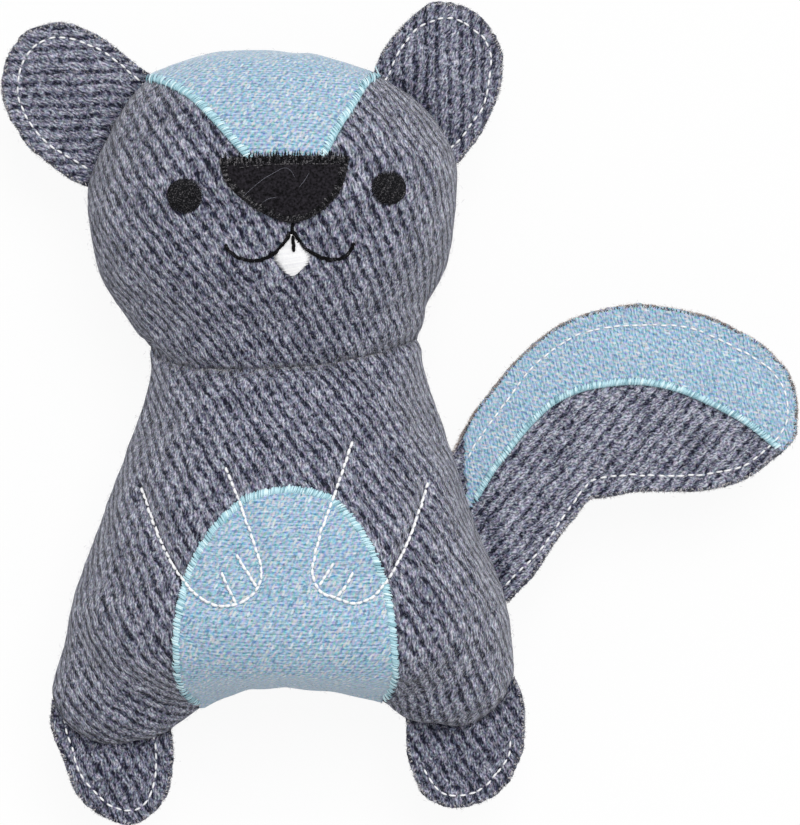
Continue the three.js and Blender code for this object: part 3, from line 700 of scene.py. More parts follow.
def blue_tweed(name, turn, lift):
    """Light blue tweed: short dashes of many blues in close rows, with cream and pink flecks."""
    made, tree = fresh_material(name)
    spread = add_node(tree, "ShaderNodeUVMap")[0]
    dashes = noise(tree, along(tree, spread, turn, 0.0013, 0.00042), 2.0)[0]
    woven = dashes
    for angle, pitch, gain in ((0, 0.0033, 0.17), (-48, 0.0050, 0.12)):
        where = along(tree, spread, turn + angle, pitch, pitch)
        rows = rib_wave(tree, where, Distortion=1.8, Detail=1.0, Detail_Scale=1.5)
        woven = weighed(tree, rows, 0.5, gain, woven)
    blues = [
        (0.16, (88, 124, 152)), (0.33, (124, 157, 182)), (0.50, (155, 182, 203)),
        (0.68, (180, 202, 219)), (0.88, (214, 227, 237)),
    ]
    blues = [(place, [min(255, c + lift) for c in colour]) for place, colour in blues]
    dyes = noise(tree, along(tree, spread, turn + 24, 0.0006, 0.0012), 1.0)["Color"]
    gains = {0: dyes, 1: (2.2, 1.5, 2.0), 2: (-0.6, -0.25, -0.5)}
    stronger = add_node(tree, "ShaderNodeVectorMath", gains, operation="MULTIPLY_ADD")[0]
    dyed = mixed(tree, 0.5, colour_ramp(tree, woven, blues), stronger)
    cells = {"Vector": along(tree, spread, turn + 24, 0.0010, 0.0026), "Scale": 1.0, "Randomness": 1.0}
    flecks = add_node(tree, "ShaderNodeTexVoronoi", cells, voronoi_dimensions="2D", feature="F1")
    parts = add_node(tree, "ShaderNodeSeparateColor", {0: flecks["Color"]})
    fleck_size = math_node(tree, "LESS_THAN", flecks["Distance"], 0.29)
    fleck_here = math_node(tree, "MULTIPLY", fleck_size, math_node(tree, "GREATER_THAN", parts[0], 0.5))
    fleck_tones = [
        (0.0, (222, 208, 208)), (0.26, (228, 224, 214)), (0.5, (84, 120, 152)), (0.7, (190, 188, 208)),
        (0.86, (236, 240, 242)),
    ]
    fleck_share = math_node(tree, "MULTIPLY", fleck_here, 0.55)
    fleck_colour = colour_ramp(tree, parts[1], fleck_tones, "CONSTANT")
    flecked = mixed(tree, fleck_share, dyed, fleck_colour, blend="MIX")
    tweed = {"Roughness": 0.9, "Specular IOR Level": 0.15, "Sheen Weight": 0.55, "Sheen Roughness": 0.4}
    finish_surface(tree, flecked, dashes, 0.6, 0.0004, tweed)
    return made


def sew_on(piece, material, replaced=(), bend=None):
    """A piece in its material, hiding the parts it replaces: a flap's piece keeps its baked place, and
    any other goes with the torso.
    """
    dress(piece, material)
    if replaced:
        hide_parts(*replaced)
    if bend:
        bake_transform(piece)
    else:
        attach(piece, "torso")
        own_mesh(piece)


patch_tweed = blue_tweed("blue_tweed_cloth", turn=0, lift=0)
belly_patch = patch_of(body_skin, belly_ring, "belly_tweed", patch_lift, patch_thickness)
blaze_patch = patch_of(head_skin, blaze_ring, "forehead_tweed", patch_lift, patch_thickness)
sew_on(belly_patch, patch_tweed, ["belly_patch"])
sew_on(blaze_patch, patch_tweed, ["forehead_patch"])

# ---------------------------------------------------------------- nose
# A rounded triangle of black felt below the forehead patch, sewn on with a satin border of its own
# black thread whose upper stitches stand a little over the tweed.
felt_thickness = 0.0012
felt_lift = 0.0004
nose_trace = [
    (221, 161), (255, 159), (290, 158), (320, 158), (346, 160), (345, 174), (341, 188), (335, 197),
    (326, 207), (316, 214), (304, 220), (292, 223), (280, 220), (269, 216), (256, 209), (245, 201),
    (233, 191), (226, 182), (222, 172),
]
nose_ring = drawn_line(seam_spots(nose_trace), 0.0008, closed=True)
nose_felt = patch_of(head_skin, nose_ring, "nose_felt", felt_lift, felt_thickness)


def object_grain(tree, scale, detail):
    """A fine grain that follows the piece's own coordinates."""
    place = add_node(tree, "ShaderNodeTexCoord")["Object"]
    return noise(tree, place, detail, scale=scale, dimensions="3D")[0]


def grained(name, scale, detail, stops, strength, distance, sockets):
    """A material whose colour and relief both come from one fine grain."""
    made, tree = fresh_material(name)
    grain = object_grain(tree, scale, detail)
    finish_surface(tree, colour_ramp(tree, grain, stops), grain, strength, distance, sockets)
    return made


felt = {"Roughness": 0.92, "Specular IOR Level": 0.1, "Sheen Weight": 0.15}
felt_tones = [(0.35, (4, 3, 5)), (0.7, (44, 41, 47))]
black_felt = grained("black_felt_cloth", 1400.0, 3.0, felt_tones, 0.6, 0.0003, felt)
sew_on(nose_felt, black_felt, ["nose"])


def tree_of(pieces):
    """The pieces' faces as one thing that rays and threads can meet."""
    places, faces, start = [], [], 0
    for piece in pieces:
        places.append(spots_of(piece))
        faces += [[start + i for i in p.vertices] for p in piece.data.polygons]
        start += len(piece.data.vertices)
    return BVHTree.FromPolygons(np.concatenate(places).tolist(), faces)


cloth_tree = tree_of([head_skin, body_skin, head_back_skin, body_back_skin])
for skin, nodes in (
    (head_skin, ["head_front"]),
    (body_skin, ["body_front", "left_leg", "right_leg"]),
    (head_back_skin, ["head_back"]),
    (body_back_skin, ["body_back"]),
):
    finish_modifier(skin, "SOLIDIFY", thickness=cloth_thickness, offset=-1.0)
    skin.data.shade_smooth()
    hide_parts(*nodes)
    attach(skin, "torso")
    if skin in (head_skin, body_skin):
        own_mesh(skin)

# ---------------------------------------------------------------- flat flaps: ears, feet and tail
# Each flap is two plies of the same cloth with raw edges, sewn together by one row of white
# topstitches some 4 mm inside the edge, and caught by its root in the side seam.
ply_thickness = 0.0008
ply_mesh = 0.0015
flap_line_step = 0.0011
edge_inset = 0.0001
bend_before, bend_after = 0.003, 0.006
# The feet's copy of the wool is darker: painted shade. The tail's copy is a little lighter.
ear_wool = wool_twill("grey_wool_ears", shade=0.0, depth=0.40, stroke=0.0015)
shaded_foot_wool = wool_twill("grey_wool_feet_shaded", shade=-0.065, depth=0.40, stroke=0.0015)
tail_wool = wool_twill("grey_wool_tail", shade=0.055, depth=0.40, stroke=0.0012)
# Each flap's crease_shade sets how strongly painted shade darkens its wool at the root.
flaps = {
    "left_ear": dict(
        edge=[
            (150, 74), (131, 60), (113, 45), (88, 30), (60, 22), (29, 30), (14, 45), (6, 60), (1, 85),
            (4, 105), (11, 120), (20, 135), (31, 150), (50, 165), (71, 180), (90, 188),
        ],
        root=[(110, 175), (122, 140), (140, 105), (158, 88)],
        stitch=[
            (146, 88), (139, 81), (120, 64), (100, 50), (75, 40), (52, 38), (33, 48), (22, 65),
            (18, 85), (20, 103), (33, 127), (50, 145), (70, 158), (90, 170),
        ],
        hinge=(-0.05531, 0.14236, 0.03), out=(-0.891, 0.453, 0), swell=0.0010, turn=-57,
        wool=ear_wool, crease_shade=0.6,
    ),
    "right_ear": dict(
        edge=[
            (459, 163), (480, 135), (494, 107), (501, 86), (503, 62), (501, 48), (491, 29), (475, 12),
            (456, 4), (434, 2), (422, 8), (411, 17), (399, 29), (386, 45), (377, 62), (373, 75),
        ],
        root=[(372, 92), (398, 112), (425, 140), (445, 168)],
        stitch=[
            (377, 90), (387, 78), (395, 60), (403, 46), (416, 30), (430, 22), (449, 18), (459, 20),
            (470, 27), (484, 39), (491, 56), (490, 73), (487, 91), (482, 109), (470, 126), (462, 137),
            (447, 152),
        ],
        hinge=(0.04101, 0.14605, 0.03), out=(0.748, 0.663, 0), swell=0.0010, turn=33,
        wool=ear_wool, crease_shade=0.6,
    ),
    "left_foot": dict(
        edge=[
            (52, 700), (50, 720), (53, 735), (59, 750), (65, 765), (70, 780), (77, 795), (92, 810),
            (110, 820), (133, 825), (154, 812), (167, 795), (171, 780), (174, 750), (171, 725),
        ],
        root=[(150, 715), (120, 720), (90, 712), (66, 700)],
        stitch=[
            (62, 708), (64, 718), (67, 733), (72, 747), (77, 766), (84, 780), (93, 790), (105, 802),
            (116, 808), (127, 811), (141, 807), (151, 793), (156, 767), (155, 746), (152, 730),
        ],
        hinge=(-0.05507, -0.04189, 0.03), out=(-0.242, -0.970, 0), swell=0.0010, turn=4,
        wool=shaded_foot_wool, crease_shade=0.35,
    ),
    "right_foot": dict(
        edge=[
            (406, 718), (407, 750), (410, 765), (415, 780), (423, 795), (440, 805), (457, 808),
            (480, 803), (496, 795), (510, 780), (517, 765), (523, 750), (525, 735), (524, 705),
            (520, 690), (514, 676),
        ],
        root=[(500, 690), (475, 708), (450, 716), (425, 710)],
        stitch=[
            (424, 769), (431, 781), (440, 791), (449, 795), (464, 795), (477, 792), (486, 785),
            (493, 777), (503, 765), (509, 754), (511, 738),
        ],
        hinge=(0.05387, -0.04189, 0.03), out=(0.242, -0.970, 0), swell=0.0010, turn=0,
        wool=shaded_foot_wool, crease_shade=0.35,
    ),
    "tail": dict(
        edge=[
            (452, 452), (470, 418), (491, 390), (516, 360), (551, 330), (582, 315), (620, 306),
            (650, 305), (704, 315), (737, 330), (763, 345), (778, 360), (790, 375), (797, 400),
            (797, 425), (793, 441), (770, 462), (742, 481), (700, 491), (640, 492), (605, 498),
            (590, 500), (575, 518), (557, 540), (538, 570), (520, 590), (509, 602),
        ],
        root=[(490, 600), (468, 555), (450, 505), (440, 465)],
        stitch=[
            (468, 458), (478, 440), (500, 410), (530, 370), (560, 345), (590, 331), (640, 325),
            (690, 328), (730, 345), (765, 365), (782, 385), (788, 410), (783, 430), (765, 450),
            (745, 465), (720, 472), (680, 476), (640, 475), (600, 478), (585, 487), (565, 515),
            (540, 550), (520, 570), (503, 588),
        ],
        hinge=(0.05925, 0.02323, 0.03), out=(0.935, 0.355, 0), swell=0.0013, turn=-106,
        wool=tail_wool, crease_shade=0.6,
    ),
}
flap_dice = np.random.default_rng(11)


def cut_ply(name, flap, word, side, seed):
    """One ply cut to the ring: lightly swollen inside the stitches, with a loose wavy edge outside."""
    ring = flap["ring"]
    low, high = ring.min(0), ring.max(0)
    points = []
    for row, level in enumerate(np.arange(low[1] - ply_mesh, high[1] + ply_mesh, ply_mesh * 0.866)):
        shift = (row % 2) * ply_mesh / 2
        columns = np.arange(low[0] - ply_mesh + shift, high[0] + ply_mesh, ply_mesh)
        points.append(np.stack([columns, np.full(len(columns), level)], 1))
    points = np.concatenate(points)
    points = points[within(points, ring)]
    points = points[line_distance(points, ring, True) > ply_mesh * 0.45]
    hoops = [(i, (i + 1) % len(ring)) for i in range(len(ring))]
    result = delaunay_2d_cdt([Vector(p) for p in np.concatenate([ring, points])], hoops, [], 1, 1e-7)
    flat = np.array([tuple(v) for v in result[0]])
    faces = [list(f) for f in result[2]]
    edge_gap = line_distance(flat, ring, True)
    stitch_gap = line_distance(flat, flap["stitch_line"])
    rise = flap["swell"] * (1 - nearness(stitch_gap, 0.006)) * np.clip(edge_gap / 0.004, 0, 1)
    level = np.concatenate([flat, np.zeros((len(flat), 1))], 1)
    rise += 0.00045 * soft_noise(level, 0.016, seed) * np.clip(stitch_gap / 0.004, 0, 1)
    wave = 0.0002 + 0.0004 * soft_noise(level, 0.014, seed + 1)
    rise += np.clip(wave, 0, 1) * nearness(edge_gap, 0.002)
    # The ply dips a little into the crease at its root, and the same share darkens its wool there as
    # painted shade.
    crease_shade = crease_shares(flat, [name], 0.0022)
    rise -= 0.0008 * crease_shade
    places = np.stack([flat[:, 0], flat[:, 1], seam_height + side * (0.0002 + np.maximum(rise, 0))], 1)
    data = bpy.data.meshes.new(f"{name}_ply_{word}")
    data.from_pydata(places.tolist(), [], faces)
    ply = new_object(data.name, data)
    data.update()
    if np.mean([p.normal.z for p in data.polygons]) * side < 0:
        data.flip_normals()
    mark_painted_shade(ply, crease_shade * flap["crease_shade"])
    cosine, sine = math.cos(math.radians(flap["turn"])), math.sin(math.radians(flap["turn"]))
    spun = [flat[:, 0] * cosine - flat[:, 1] * sine, flat[:, 0] * sine + flat[:, 1] * cosine]
    spun = np.stack(spun, 1)[corners_of(data)]
    data.uv_layers.new(name="weave").data.foreach_set("uv", spun.astype(np.float32).ravel())
    finish_modifier(ply, "SOLIDIFY", thickness=ply_thickness, offset=1.0)
    data.shade_smooth()
    data.materials.append(flap["wool"])
    return ply


for name, flap in flaps.items():
    edge = drawn_line(seam_spots(flap["edge"]), flap_line_step)
    root = drawn_line(seam_spots(flap["root"]), flap_line_step)
    if np.linalg.norm(edge[-1] - root[0]) > np.linalg.norm(edge[-1] - root[-1]):
        root = root[::-1]
    ahead = ahead_of(edge)
    away = aside(ahead)
    away[within(edge + away * 0.001, np.concatenate([edge, root]))] *= -1
    edge -= away * edge_inset
    ring = np.concatenate([edge, root])
    ring += flap_dice.normal(0, 0.00014, ring.shape)
    stitch_line = drawn_line(seam_spots(flap["stitch"]), 0.001)
    hinge, out = np.array(flap["hinge"]), np.array(flap["out"])
    bend = dict(a="torso", b=name, start=hinge - out * bend_before, end=hinge + out * bend_after)
    flap.update(ahead=ahead, away=away, ring=ring, edge_line=edge, stitch_line=stitch_line)
    flap.update(bend=bend, plies=[])
    for side, word in ((1, "front"), (-1, "back")):
        ply = cut_ply(name, flap, word, side, seed=len(name) * 7 + side)
        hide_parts(f"{name}_{word}")
        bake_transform(ply)
        flap["plies"].append(ply)

# ---------------------------------------------------------------- band on the tail
# A band of the blue tweed covers the outer half of the tail's front ply, raw at the flap's edge and
# closed along its lower side by a satin border.
band_trace = [
    (463, 514), (476, 499), (492, 472), (507, 452), (527, 427), (551, 404), (576, 391), (600, 385),
    (640, 382), (680, 390), (719, 407), (749, 424), (777, 447), (789, 463),
]
band_outer_trace = [(830, 470), (830, 290), (480, 290), (467, 420), (463, 452), (466, 484)]
band_ring = np.concatenate([drawn_line(seam_spots(band_trace), 0.001), seam_spots(band_outer_trace)])
tail_top = flaps["tail"]["plies"][0]
band = new_object("tail_tweed", tail_top.data.copy())
middles = rows_of(band.data.polygons, "center", 3)
facing_up = rows_of(band.data.polygons, "normal", 3)[:, 2] > 0.35
set_back = line_distance(middles[:, :2], flaps["tail"]["ring"], True) > 0.0003
on_top = facing_up & (middles[:, 2] > seam_height + ply_thickness)
keep_faces(band.data, within(middles[:, :2], band_ring) & set_back & on_top)
finish_modifier(band, "SOLIDIFY", thickness=patch_thickness, offset=1.0)
band.data.shade_smooth()
band_tweed = blue_tweed("blue_tweed_band", turn=3, lift=2)
sew_on(band, band_tweed, ["tail_band"], flaps["tail"]["bend"])

# ---------------------------------------------------------------- threads
# Satin borders of pale blue thread, white topstitches, coarse white stitches that draw the arms, and
# the black and white embroidery of the face are all real threads that lie on the cloth.
thread_dice = np.random.default_rng(5)
stuffed_top = tree_of([head_skin, body_skin, belly_patch, blaze_patch, nose_felt])
bare_top = tree_of([head_skin, body_skin])
flap_tops = {name: tree_of(flap["plies"][:1]) for name, flap in flaps.items()}
flap_tops["tail"] = tree_of([tail_top, band])


def laid_on(cloth, line):
    """Each point drawn on the photograph, put on the cloth that the camera sees there."""
    places, ways, last = [], [], None
    for x, y in line.reshape(-1, 2):
        aim = Vector((x, y, seam_height)) - camera_spot
        hit, way, _, _ = cloth.ray_cast(camera_spot, aim.normalized())
        if hit is None:
            hit, way = last if last else (Vector((x, y, seam_height + 0.002)), Vector((0, 0, 1)))
        if way.z < 0:
            way = -way
        last = (hit, way)
        places.append(hit)
        ways.append(way)
    shape = (*line.shape[:-1], 3)
    return np.array(places).reshape(shape), np.array(ways).reshape(shape)


def thread_mesh(name, runs, ups, wide, high, tints, sides, blunt=0.45):
    """Many short threads as one mesh: each run of points gets an oval section, tapered at its ends."""
    count, length, _ = runs.shape
    ways = unit(np.gradient(runs, axis=1))
    sides_way = unit(np.cross(ways, ups))
    ups = unit(np.cross(sides_way, ways))
    taper = blunt + (1 - blunt) * np.sin(np.pi * np.linspace(0, 1, length)) ** 0.45
    turn = np.arange(sides)
    angles = turn * 2 * math.pi / sides
    across = sides_way[:, :, None] * np.cos(angles)[None, None, :, None] * wide / 2
    upwards = ups[:, :, None] * np.sin(angles)[None, None, :, None] * high / 2
    places = (runs[:, :, None] + (across + upwards) * taper[None, :, None, None]).reshape(-1, 3)
    base = (np.arange(count) * length * sides)[:, None]
    near = base[:, :, None] + (np.arange(length - 1) * sides)[None, :, None] + turn
    far = near - turn + (turn + 1) % sides
    quads = np.stack([near, near + sides, far + sides, far], -1).reshape(-1, 4)
    start_caps, end_caps = base + turn, base + (length - 1) * sides + turn[::-1]
    loops = np.concatenate([quads.ravel(), start_caps.ravel(), end_caps.ravel()])
    sizes = np.concatenate([np.full(len(quads), 4), np.full(2 * count, sides)])
    data = bpy.data.meshes.new(name)
    for collection, field, values, kind in (
        (data.vertices, "co", places, np.float32),
        (data.loops, "vertex_index", loops, np.int32),
        (data.polygons, "loop_start", np.concatenate([[0], np.cumsum(sizes)[:-1]]), np.int32),
    ):
        collection.add(len(values))
        collection.foreach_set(field, values.astype(kind).ravel())
    data.update(calc_edges=True)
    data.validate()
    tint = data.attributes.new("tint", "FLOAT", "POINT")
    tint.data.foreach_set("value", np.repeat(np.asarray(tints, np.float32), length * sides))
    data.shade_smooth()
    return new_object(name, data)


def joined(name, pieces):
    take(pieces[0])
    for piece in pieces:
        piece.select_set(True)
    bpy.ops.object.join()
    pieces[0].name = name
    return pieces[0]


def tinted_thread(name, stops, roughness, sheen, gloss=0.35, speckle=0.35):
    """Thread whose tone comes from each stitch's own tint and from a fine grain."""
    made, tree = fresh_material(name)
    tint = add_node(tree, "ShaderNodeAttribute", attribute_name="tint")["Fac"]
    grain = object_grain(tree, 2600.0, 1.0)
    colour = colour_ramp(tree, weighed(tree, grain, 0.5, speckle, tint), stops)
    thread = {"Roughness": roughness, "Specular IOR Level": gloss, "Sheen Weight": sheen}
    finish_surface(tree, colour, grain, 0.4, 0.0001, thread)
    return made


# The satin ramp runs from shaded blue through the thread's own pale blue to highlit near-white; each
# stitch's tint picks a place on it, so the stitches carry painted shade and painted highlight.
blue_satin = tinted_thread(
    "pale_blue_satin_thread",
    [(0.0, (96, 142, 156)), (0.4, (156, 200, 212)), (0.75, (194, 229, 239)), (1.0, (230, 251, 255))],
    roughness=0.36, sheen=0.1,
)
white_cotton = tinted_thread(
    "white_thread",
    [(0.0, (206, 207, 212)), (0.5, (240, 240, 243)), (1.0, (254, 254, 254))],
    roughness=0.6, sheen=0.1,
)
# The black thread's upper grey stops and strong speckle give light flecks: painted sheen on the black
# thread.
black_satin = tinted_thread(
    "black_thread",
    [(0.0, (3, 3, 4)), (0.5, (8, 8, 10)), (0.75, (36, 36, 40)), (1.0, (102, 100, 102))],
    roughness=0.8, sheen=0.0, gloss=0.12, speckle=1.5,
)


def evened(rows, closed, rounds):
    """Each row drawn towards its neighbours, so that stitches lean alike."""
    for _ in range(rounds):
        after, before = np.roll(rows, -1, 0), np.roll(rows, 1, 0)
        if not closed:
            after[-1], before[0] = rows[-1], rows[0]
        rows = 0.5 * rows + 0.25 * (after + before)
    return rows


def satin_border(name, cloth, line, wide, ragged, lift, closed=False, slant=0.34, spread_tint=0.2):
    """Stitches side by side across a line: each goes up, over and down into the cloth."""
    pitch, thread_height, sink = 0.00050, 0.00036, 0.0001
    even = drawn_line(line, pitch, closed)
    ahead = ahead_of(even, closed)
    across = ahead * slant - aside(ahead)
    count = len(even)
    shares = np.array([-0.5, -0.3, -0.08, 0.14, 0.33, 0.5])
    spread = wide * (1 + thread_dice.normal(0, 0.08, count))
    shift = thread_dice.normal(0, wide * 0.04, count) + ragged * np.abs(thread_dice.normal(0, 1, count))
    slip = thread_dice.normal(0, pitch * 0.35, count)
    reaches = shares[None, :, None] * spread[:, None, None] + shift[:, None, None]
    points = even[:, None] + across[:, None] * reaches + ahead[:, None] * slip[:, None, None]
    places, ways = laid_on(cloth, points)
    ups = unit(evened(ways.mean(1), closed, 12))[:, None].repeat(len(shares), 1)
    rise = lift * np.clip(1 - (2 * shares) ** 2, 0, 1) ** 0.4 + sink
    places = places + ups * rise[None, :, None]
    # Each stitch's tint sets how shaded or highlit its thread is painted.
    tints = np.clip(thread_dice.normal(0.65, spread_tint, count), 0.05, 0.95)
    satin = thread_mesh(name, places, ups, pitch * 1.25, thread_height, tints, sides=6)
    under = drawn_line(line, pitch * 3, closed)
    if closed:
        under = np.concatenate([under, under[:1]])
    places, ways = laid_on(cloth, under)
    ways = unit(evened(ways, closed, 6))
    places = evened(places, closed, 2) + ways * (lift * 0.45)
    padding = thread_mesh(
        f"{name}_padding", places[None], ways[None], wide * 0.84, lift, [0.4], sides=8, blunt=0.9
    )
    return joined(name, [satin, padding])


def stitch_row(name, cloth, trace, long, pitch, wide, lift, tint, jitter=0.06):
    """A row of running stitches along a line, each with its ends drawn down into the cloth."""
    fine = drawn_line(seam_spots(trace), pitch / 12)
    run = run_along(fine)
    starts = np.arange(0, run[-1] - long * 0.5, run[-1] / max(1, round(run[-1] / pitch)))
    starts = starts + thread_dice.normal(0, pitch * jitter, len(starts))
    shares = np.linspace(0, 1, 6)
    spans = long * (1 + thread_dice.normal(0, 0.08, len(starts)))
    points = at_runs(fine, run, np.clip(starts[:, None] + spans[:, None] * shares[None, :], 0, run[-1]))
    points += thread_dice.normal(0, wide * 0.12, (len(starts), 1, 2))
    places, ways = laid_on(cloth, points)
    ups = unit(ways.mean(1))[:, None].repeat(len(shares), 1)
    rise = lift * np.sin(np.pi * shares) ** 0.7 - wide * 0.12
    places = places + ups * rise[None, :, None]
    tints = np.clip(thread_dice.normal(tint, 0.12, len(starts)), 0.02, 0.98)
    return thread_mesh(name, places, ups, wide, wide * 0.75, tints, sides=6)


belly_border = satin_border(
    "belly_satin_border", bare_top, belly_top[::3], wide=0.0025, ragged=0.00026, lift=0.0010
)
sew_on(belly_border, blue_satin)
blaze_left, blaze_right = seam_spots(blaze_left_trace), seam_spots(blaze_right_trace[::-1])
blaze_borders = [
    satin_border("left_border", bare_top, blaze_left, wide=0.0027, ragged=0.00026, lift=0.0010),
    satin_border("right_border", bare_top, blaze_right, wide=0.0026, ragged=-0.00026, lift=0.0010),
]
sew_on(joined("forehead_satin_borders", blaze_borders), blue_satin)
band_line, bare_tail = seam_spots(band_trace[1:-1]), tree_of([tail_top])
band_border = satin_border(
    "tail_satin_border", bare_tail, band_line, wide=0.0021, ragged=0.00022, lift=0.0013
)
sew_on(band_border, blue_satin, bend=flaps["tail"]["bend"])

# The nose's border has a row of long and short stitches over the tweed, and below them a pale row of
# short stitches: a painted highlight along the border's inner edge.
spike_pitch = 0.00078
nose_edge = (nose_ring + aside(ahead_of(nose_ring, closed=True)) * 0.0010)[::3]
nose_top_line = seam_spots([(222, 164), (255, 161), (290, 160), (320, 160), (346, 162)])
nose_highlight_trace = [(238, 168), (262, 165), (293, 164), (333, 164)]
spike_feet = drawn_line(nose_top_line, spike_pitch)
spike_feet += thread_dice.normal(0, 0.00012, spike_feet.shape)
spike_lean = thread_dice.normal(0, 0.0003, len(spike_feet))
spike_length = thread_dice.uniform(0.0021, 0.0031, len(spike_feet))
spike_tips = spike_feet + np.stack([spike_lean, spike_length], 1)
spikes = spike_feet[:, None] + (spike_tips - spike_feet)[:, None] * np.linspace(0, 1, 4)[:, None]
spikes, spike_ups = laid_on(stuffed_top, spikes)
spikes += spike_ups * 0.0004
nose_threads = [
    satin_border(
        "nose_edge", bare_top, nose_edge, wide=0.0025, ragged=-0.0004, lift=0.0016, closed=True,
        slant=0.2, spread_tint=0.15,
    ),
    satin_border(
        "nose_top_edge", bare_top, nose_top_line, wide=0.0022, ragged=0.0003, lift=0.0019,
        slant=0.1, spread_tint=0.17,
    ),
    thread_mesh(
        "nose_spikes", spikes, spike_ups, wide=0.00042, high=0.0004,
        tints=thread_dice.uniform(0.2, 0.9, len(spikes)), sides=5, blunt=0.25,
    ),
    # Painted highlight: a pale row of short stitches along the border's inner edge.
    stitch_row(
        "nose_rim_highlight", stuffed_top, nose_highlight_trace, long=0.0011, pitch=0.0013, wide=0.00032,
        lift=0.0004, tint=0.93, jitter=0.2,
    ),
]
sew_on(joined("nose_satin_border", nose_threads), black_satin)

arm_top = tree_of([body_skin, belly_patch, belly_border])
arm_rows = [
    stitch_row(
        "arm_row", arm_top, trace, long=0.00205, pitch=0.0021, wide=0.00098, lift=0.0006, tint=0.8
    )
    for trace in arm_traces
]
sew_on(joined("arm_stitches", arm_rows), white_cotton)
for name, flap in flaps.items():
    topstitches = stitch_row(
        f"{name}_topstitches", flap_tops[name], flap["stitch"], long=0.0020, pitch=0.0029,
        wide=0.00064, lift=0.0004, tint=0.65,
    )
    sew_on(topstitches, white_cotton, bend=flap["bend"])

# ---------------------------------------------------------------- eyes, tooth and mouth
# The eyes are round embroidered discs of black thread, the tooth a white embroidered diamond, and the
# mouth a chain of black stitches, all sewn through the front cloth of the head.
tooth_trace = [
    (290, 234), (281, 245), (274, 256), (281, 268), (292, 275), (302, 269), (310, 257), (300, 244),
]
mouth_traces = [
    [(292, 221), (292, 227), (292, 233)],
    [
        (291, 231), (284, 243), (277, 251), (268, 257), (257, 260), (247, 260), (238, 257), (230, 251),
        (225, 245),
    ],
    [
        (294, 231), (300, 241), (307, 249), (316, 255), (327, 259), (338, 259), (346, 255), (351, 249),
        (353, 243),
    ],
    [(293, 235), (293, 244), (294, 252)],
]
eye_angle, tooth_angle = math.radians(62), 0.15
turns = np.linspace(0, 2 * math.pi, 48, endpoint=False)


def filled_shape(name, ring, angle, dome, tint, spread_tint):
    """Embroidery: long threads side by side that fill a ring, over a little padding."""
    pitch, thread_height, lift, overshoot, shortest = 0.00034, 0.0006, 0.0006, 0.00028, 0.0005
    turn = np.array([[math.cos(angle), math.sin(angle)], [-math.sin(angle), math.cos(angle)]])
    middle = ring.mean(0)
    spun = (ring - middle) @ turn.T
    radius = np.abs(spun).max()
    runs = []
    for level in np.arange(spun[:, 1].min() + pitch / 2, spun[:, 1].max(), pitch):
        crossings = []
        for (ax, ay), (bx, by) in zip(spun, np.roll(spun, -1, 0)):
            if (ay > level) != (by > level):
                crossings.append(ax + (bx - ax) * (level - ay) / (by - ay))
        if len(crossings) >= 2:
            low = min(crossings) - abs(thread_dice.normal(0, overshoot))
            high = max(crossings) + abs(thread_dice.normal(0, overshoot))
            if high - low > shortest:
                runs.append([(low + (high - low) * s, level) for s in np.linspace(0, 1, 8)])
    runs = np.array(runs)
    places, ways = laid_on(stuffed_top, (runs.reshape(-1, 2) @ turn + middle).reshape(runs.shape))
    ups = unit(np.broadcast_to(ways.mean((0, 1)), places.shape))
    rise = lift + dome * np.clip(1 - (np.linalg.norm(runs, axis=2) / radius) ** 2, 0, 1)
    rise[:, [0, -1]] = 0.0
    places = places + ups * rise[:, :, None]
    tints = np.clip(thread_dice.normal(tint, spread_tint, len(runs)), 0.02, 0.98)
    return thread_mesh(name, places, ups, pitch * 1.5, thread_height, tints, sides=6, blunt=0.3)


for name, spot, radius in (("left_eye", (185, 196), 17.5), ("right_eye", (388, 188), 17.0)):
    ring = seam_spots([spot])[0] + radius * photo_pixel * np.stack([np.cos(turns), np.sin(turns)], 1)
    disc = filled_shape(f"{name}_threads", ring, eye_angle, dome=0.0009, tint=0.63, spread_tint=0.05)
    sew_on(disc, black_satin, [name])
tooth_ring = drawn_line(seam_spots(tooth_trace), 0.0004, closed=True)
tooth_threads = filled_shape(
    "tooth_threads", tooth_ring, tooth_angle, dome=0.0006, tint=0.75, spread_tint=0.16
)
sew_on(tooth_threads, white_cotton, ["tooth"])
face_top = tree_of([head_skin, blaze_patch, nose_felt, tooth_threads])
mouth_rows = [
    stitch_row(
        "mouth_row", face_top, trace, long=0.0021, pitch=0.0011, wide=0.00108, lift=0.0006, tint=0.45
    )
    for trace in mouth_traces
]
sew_on(joined("mouth_stitches", mouth_rows), black_satin)

# ---------------------------------------------------------------- loose fibres
# The wool is brushed: short loose fibres stand off the cloth everywhere, and the raw edges of the
# flaps are frayed, with some fibres of the pale brown lining thread among them.
fibre_width, hair_width, tuft_width = 0.00006, 0.00009, 0.00030
shortest_fibre, longest_fibre = 0.0006, 0.0014
edge_slip = 0.0006
lined_share = 0.56
fibre_dice = np.random.default_rng(23)
hair_traces = [
    [(243, 197), (250, 190), (262, 180), (272, 174), (284, 168), (291, 171), (295, 178)],
    [(299, 187), (304, 181), (309, 173)],
    [(262, 203), (268, 199), (277, 197)],
    [(146, 687), (158, 684), (173, 682)],
    [(300, 292), (303, 300), (301, 309)],
    [(212, 421), (219, 427), (228, 428)],
]
fuzz_tones = [
    (0.0, (40, 42, 54)), (0.25, (92, 94, 107)), (0.5, (138, 139, 152)), (0.75, (184, 185, 197)),
    (1.0, (214, 212, 214)),
]
fray_tones = [
    (0.0, (34, 33, 40)), (0.3, (96, 96, 108)), (0.55, (160, 160, 172)), (0.75, (206, 200, 196)),
    (1.0, (168, 136, 120)),
]
wool_fuzz = tinted_thread("grey_wool_fibres", fuzz_tones, roughness=0.9, sheen=0.2)
edge_fuzz = tinted_thread("frayed_edge_fibres", fray_tones, roughness=0.9, sheen=0.2)


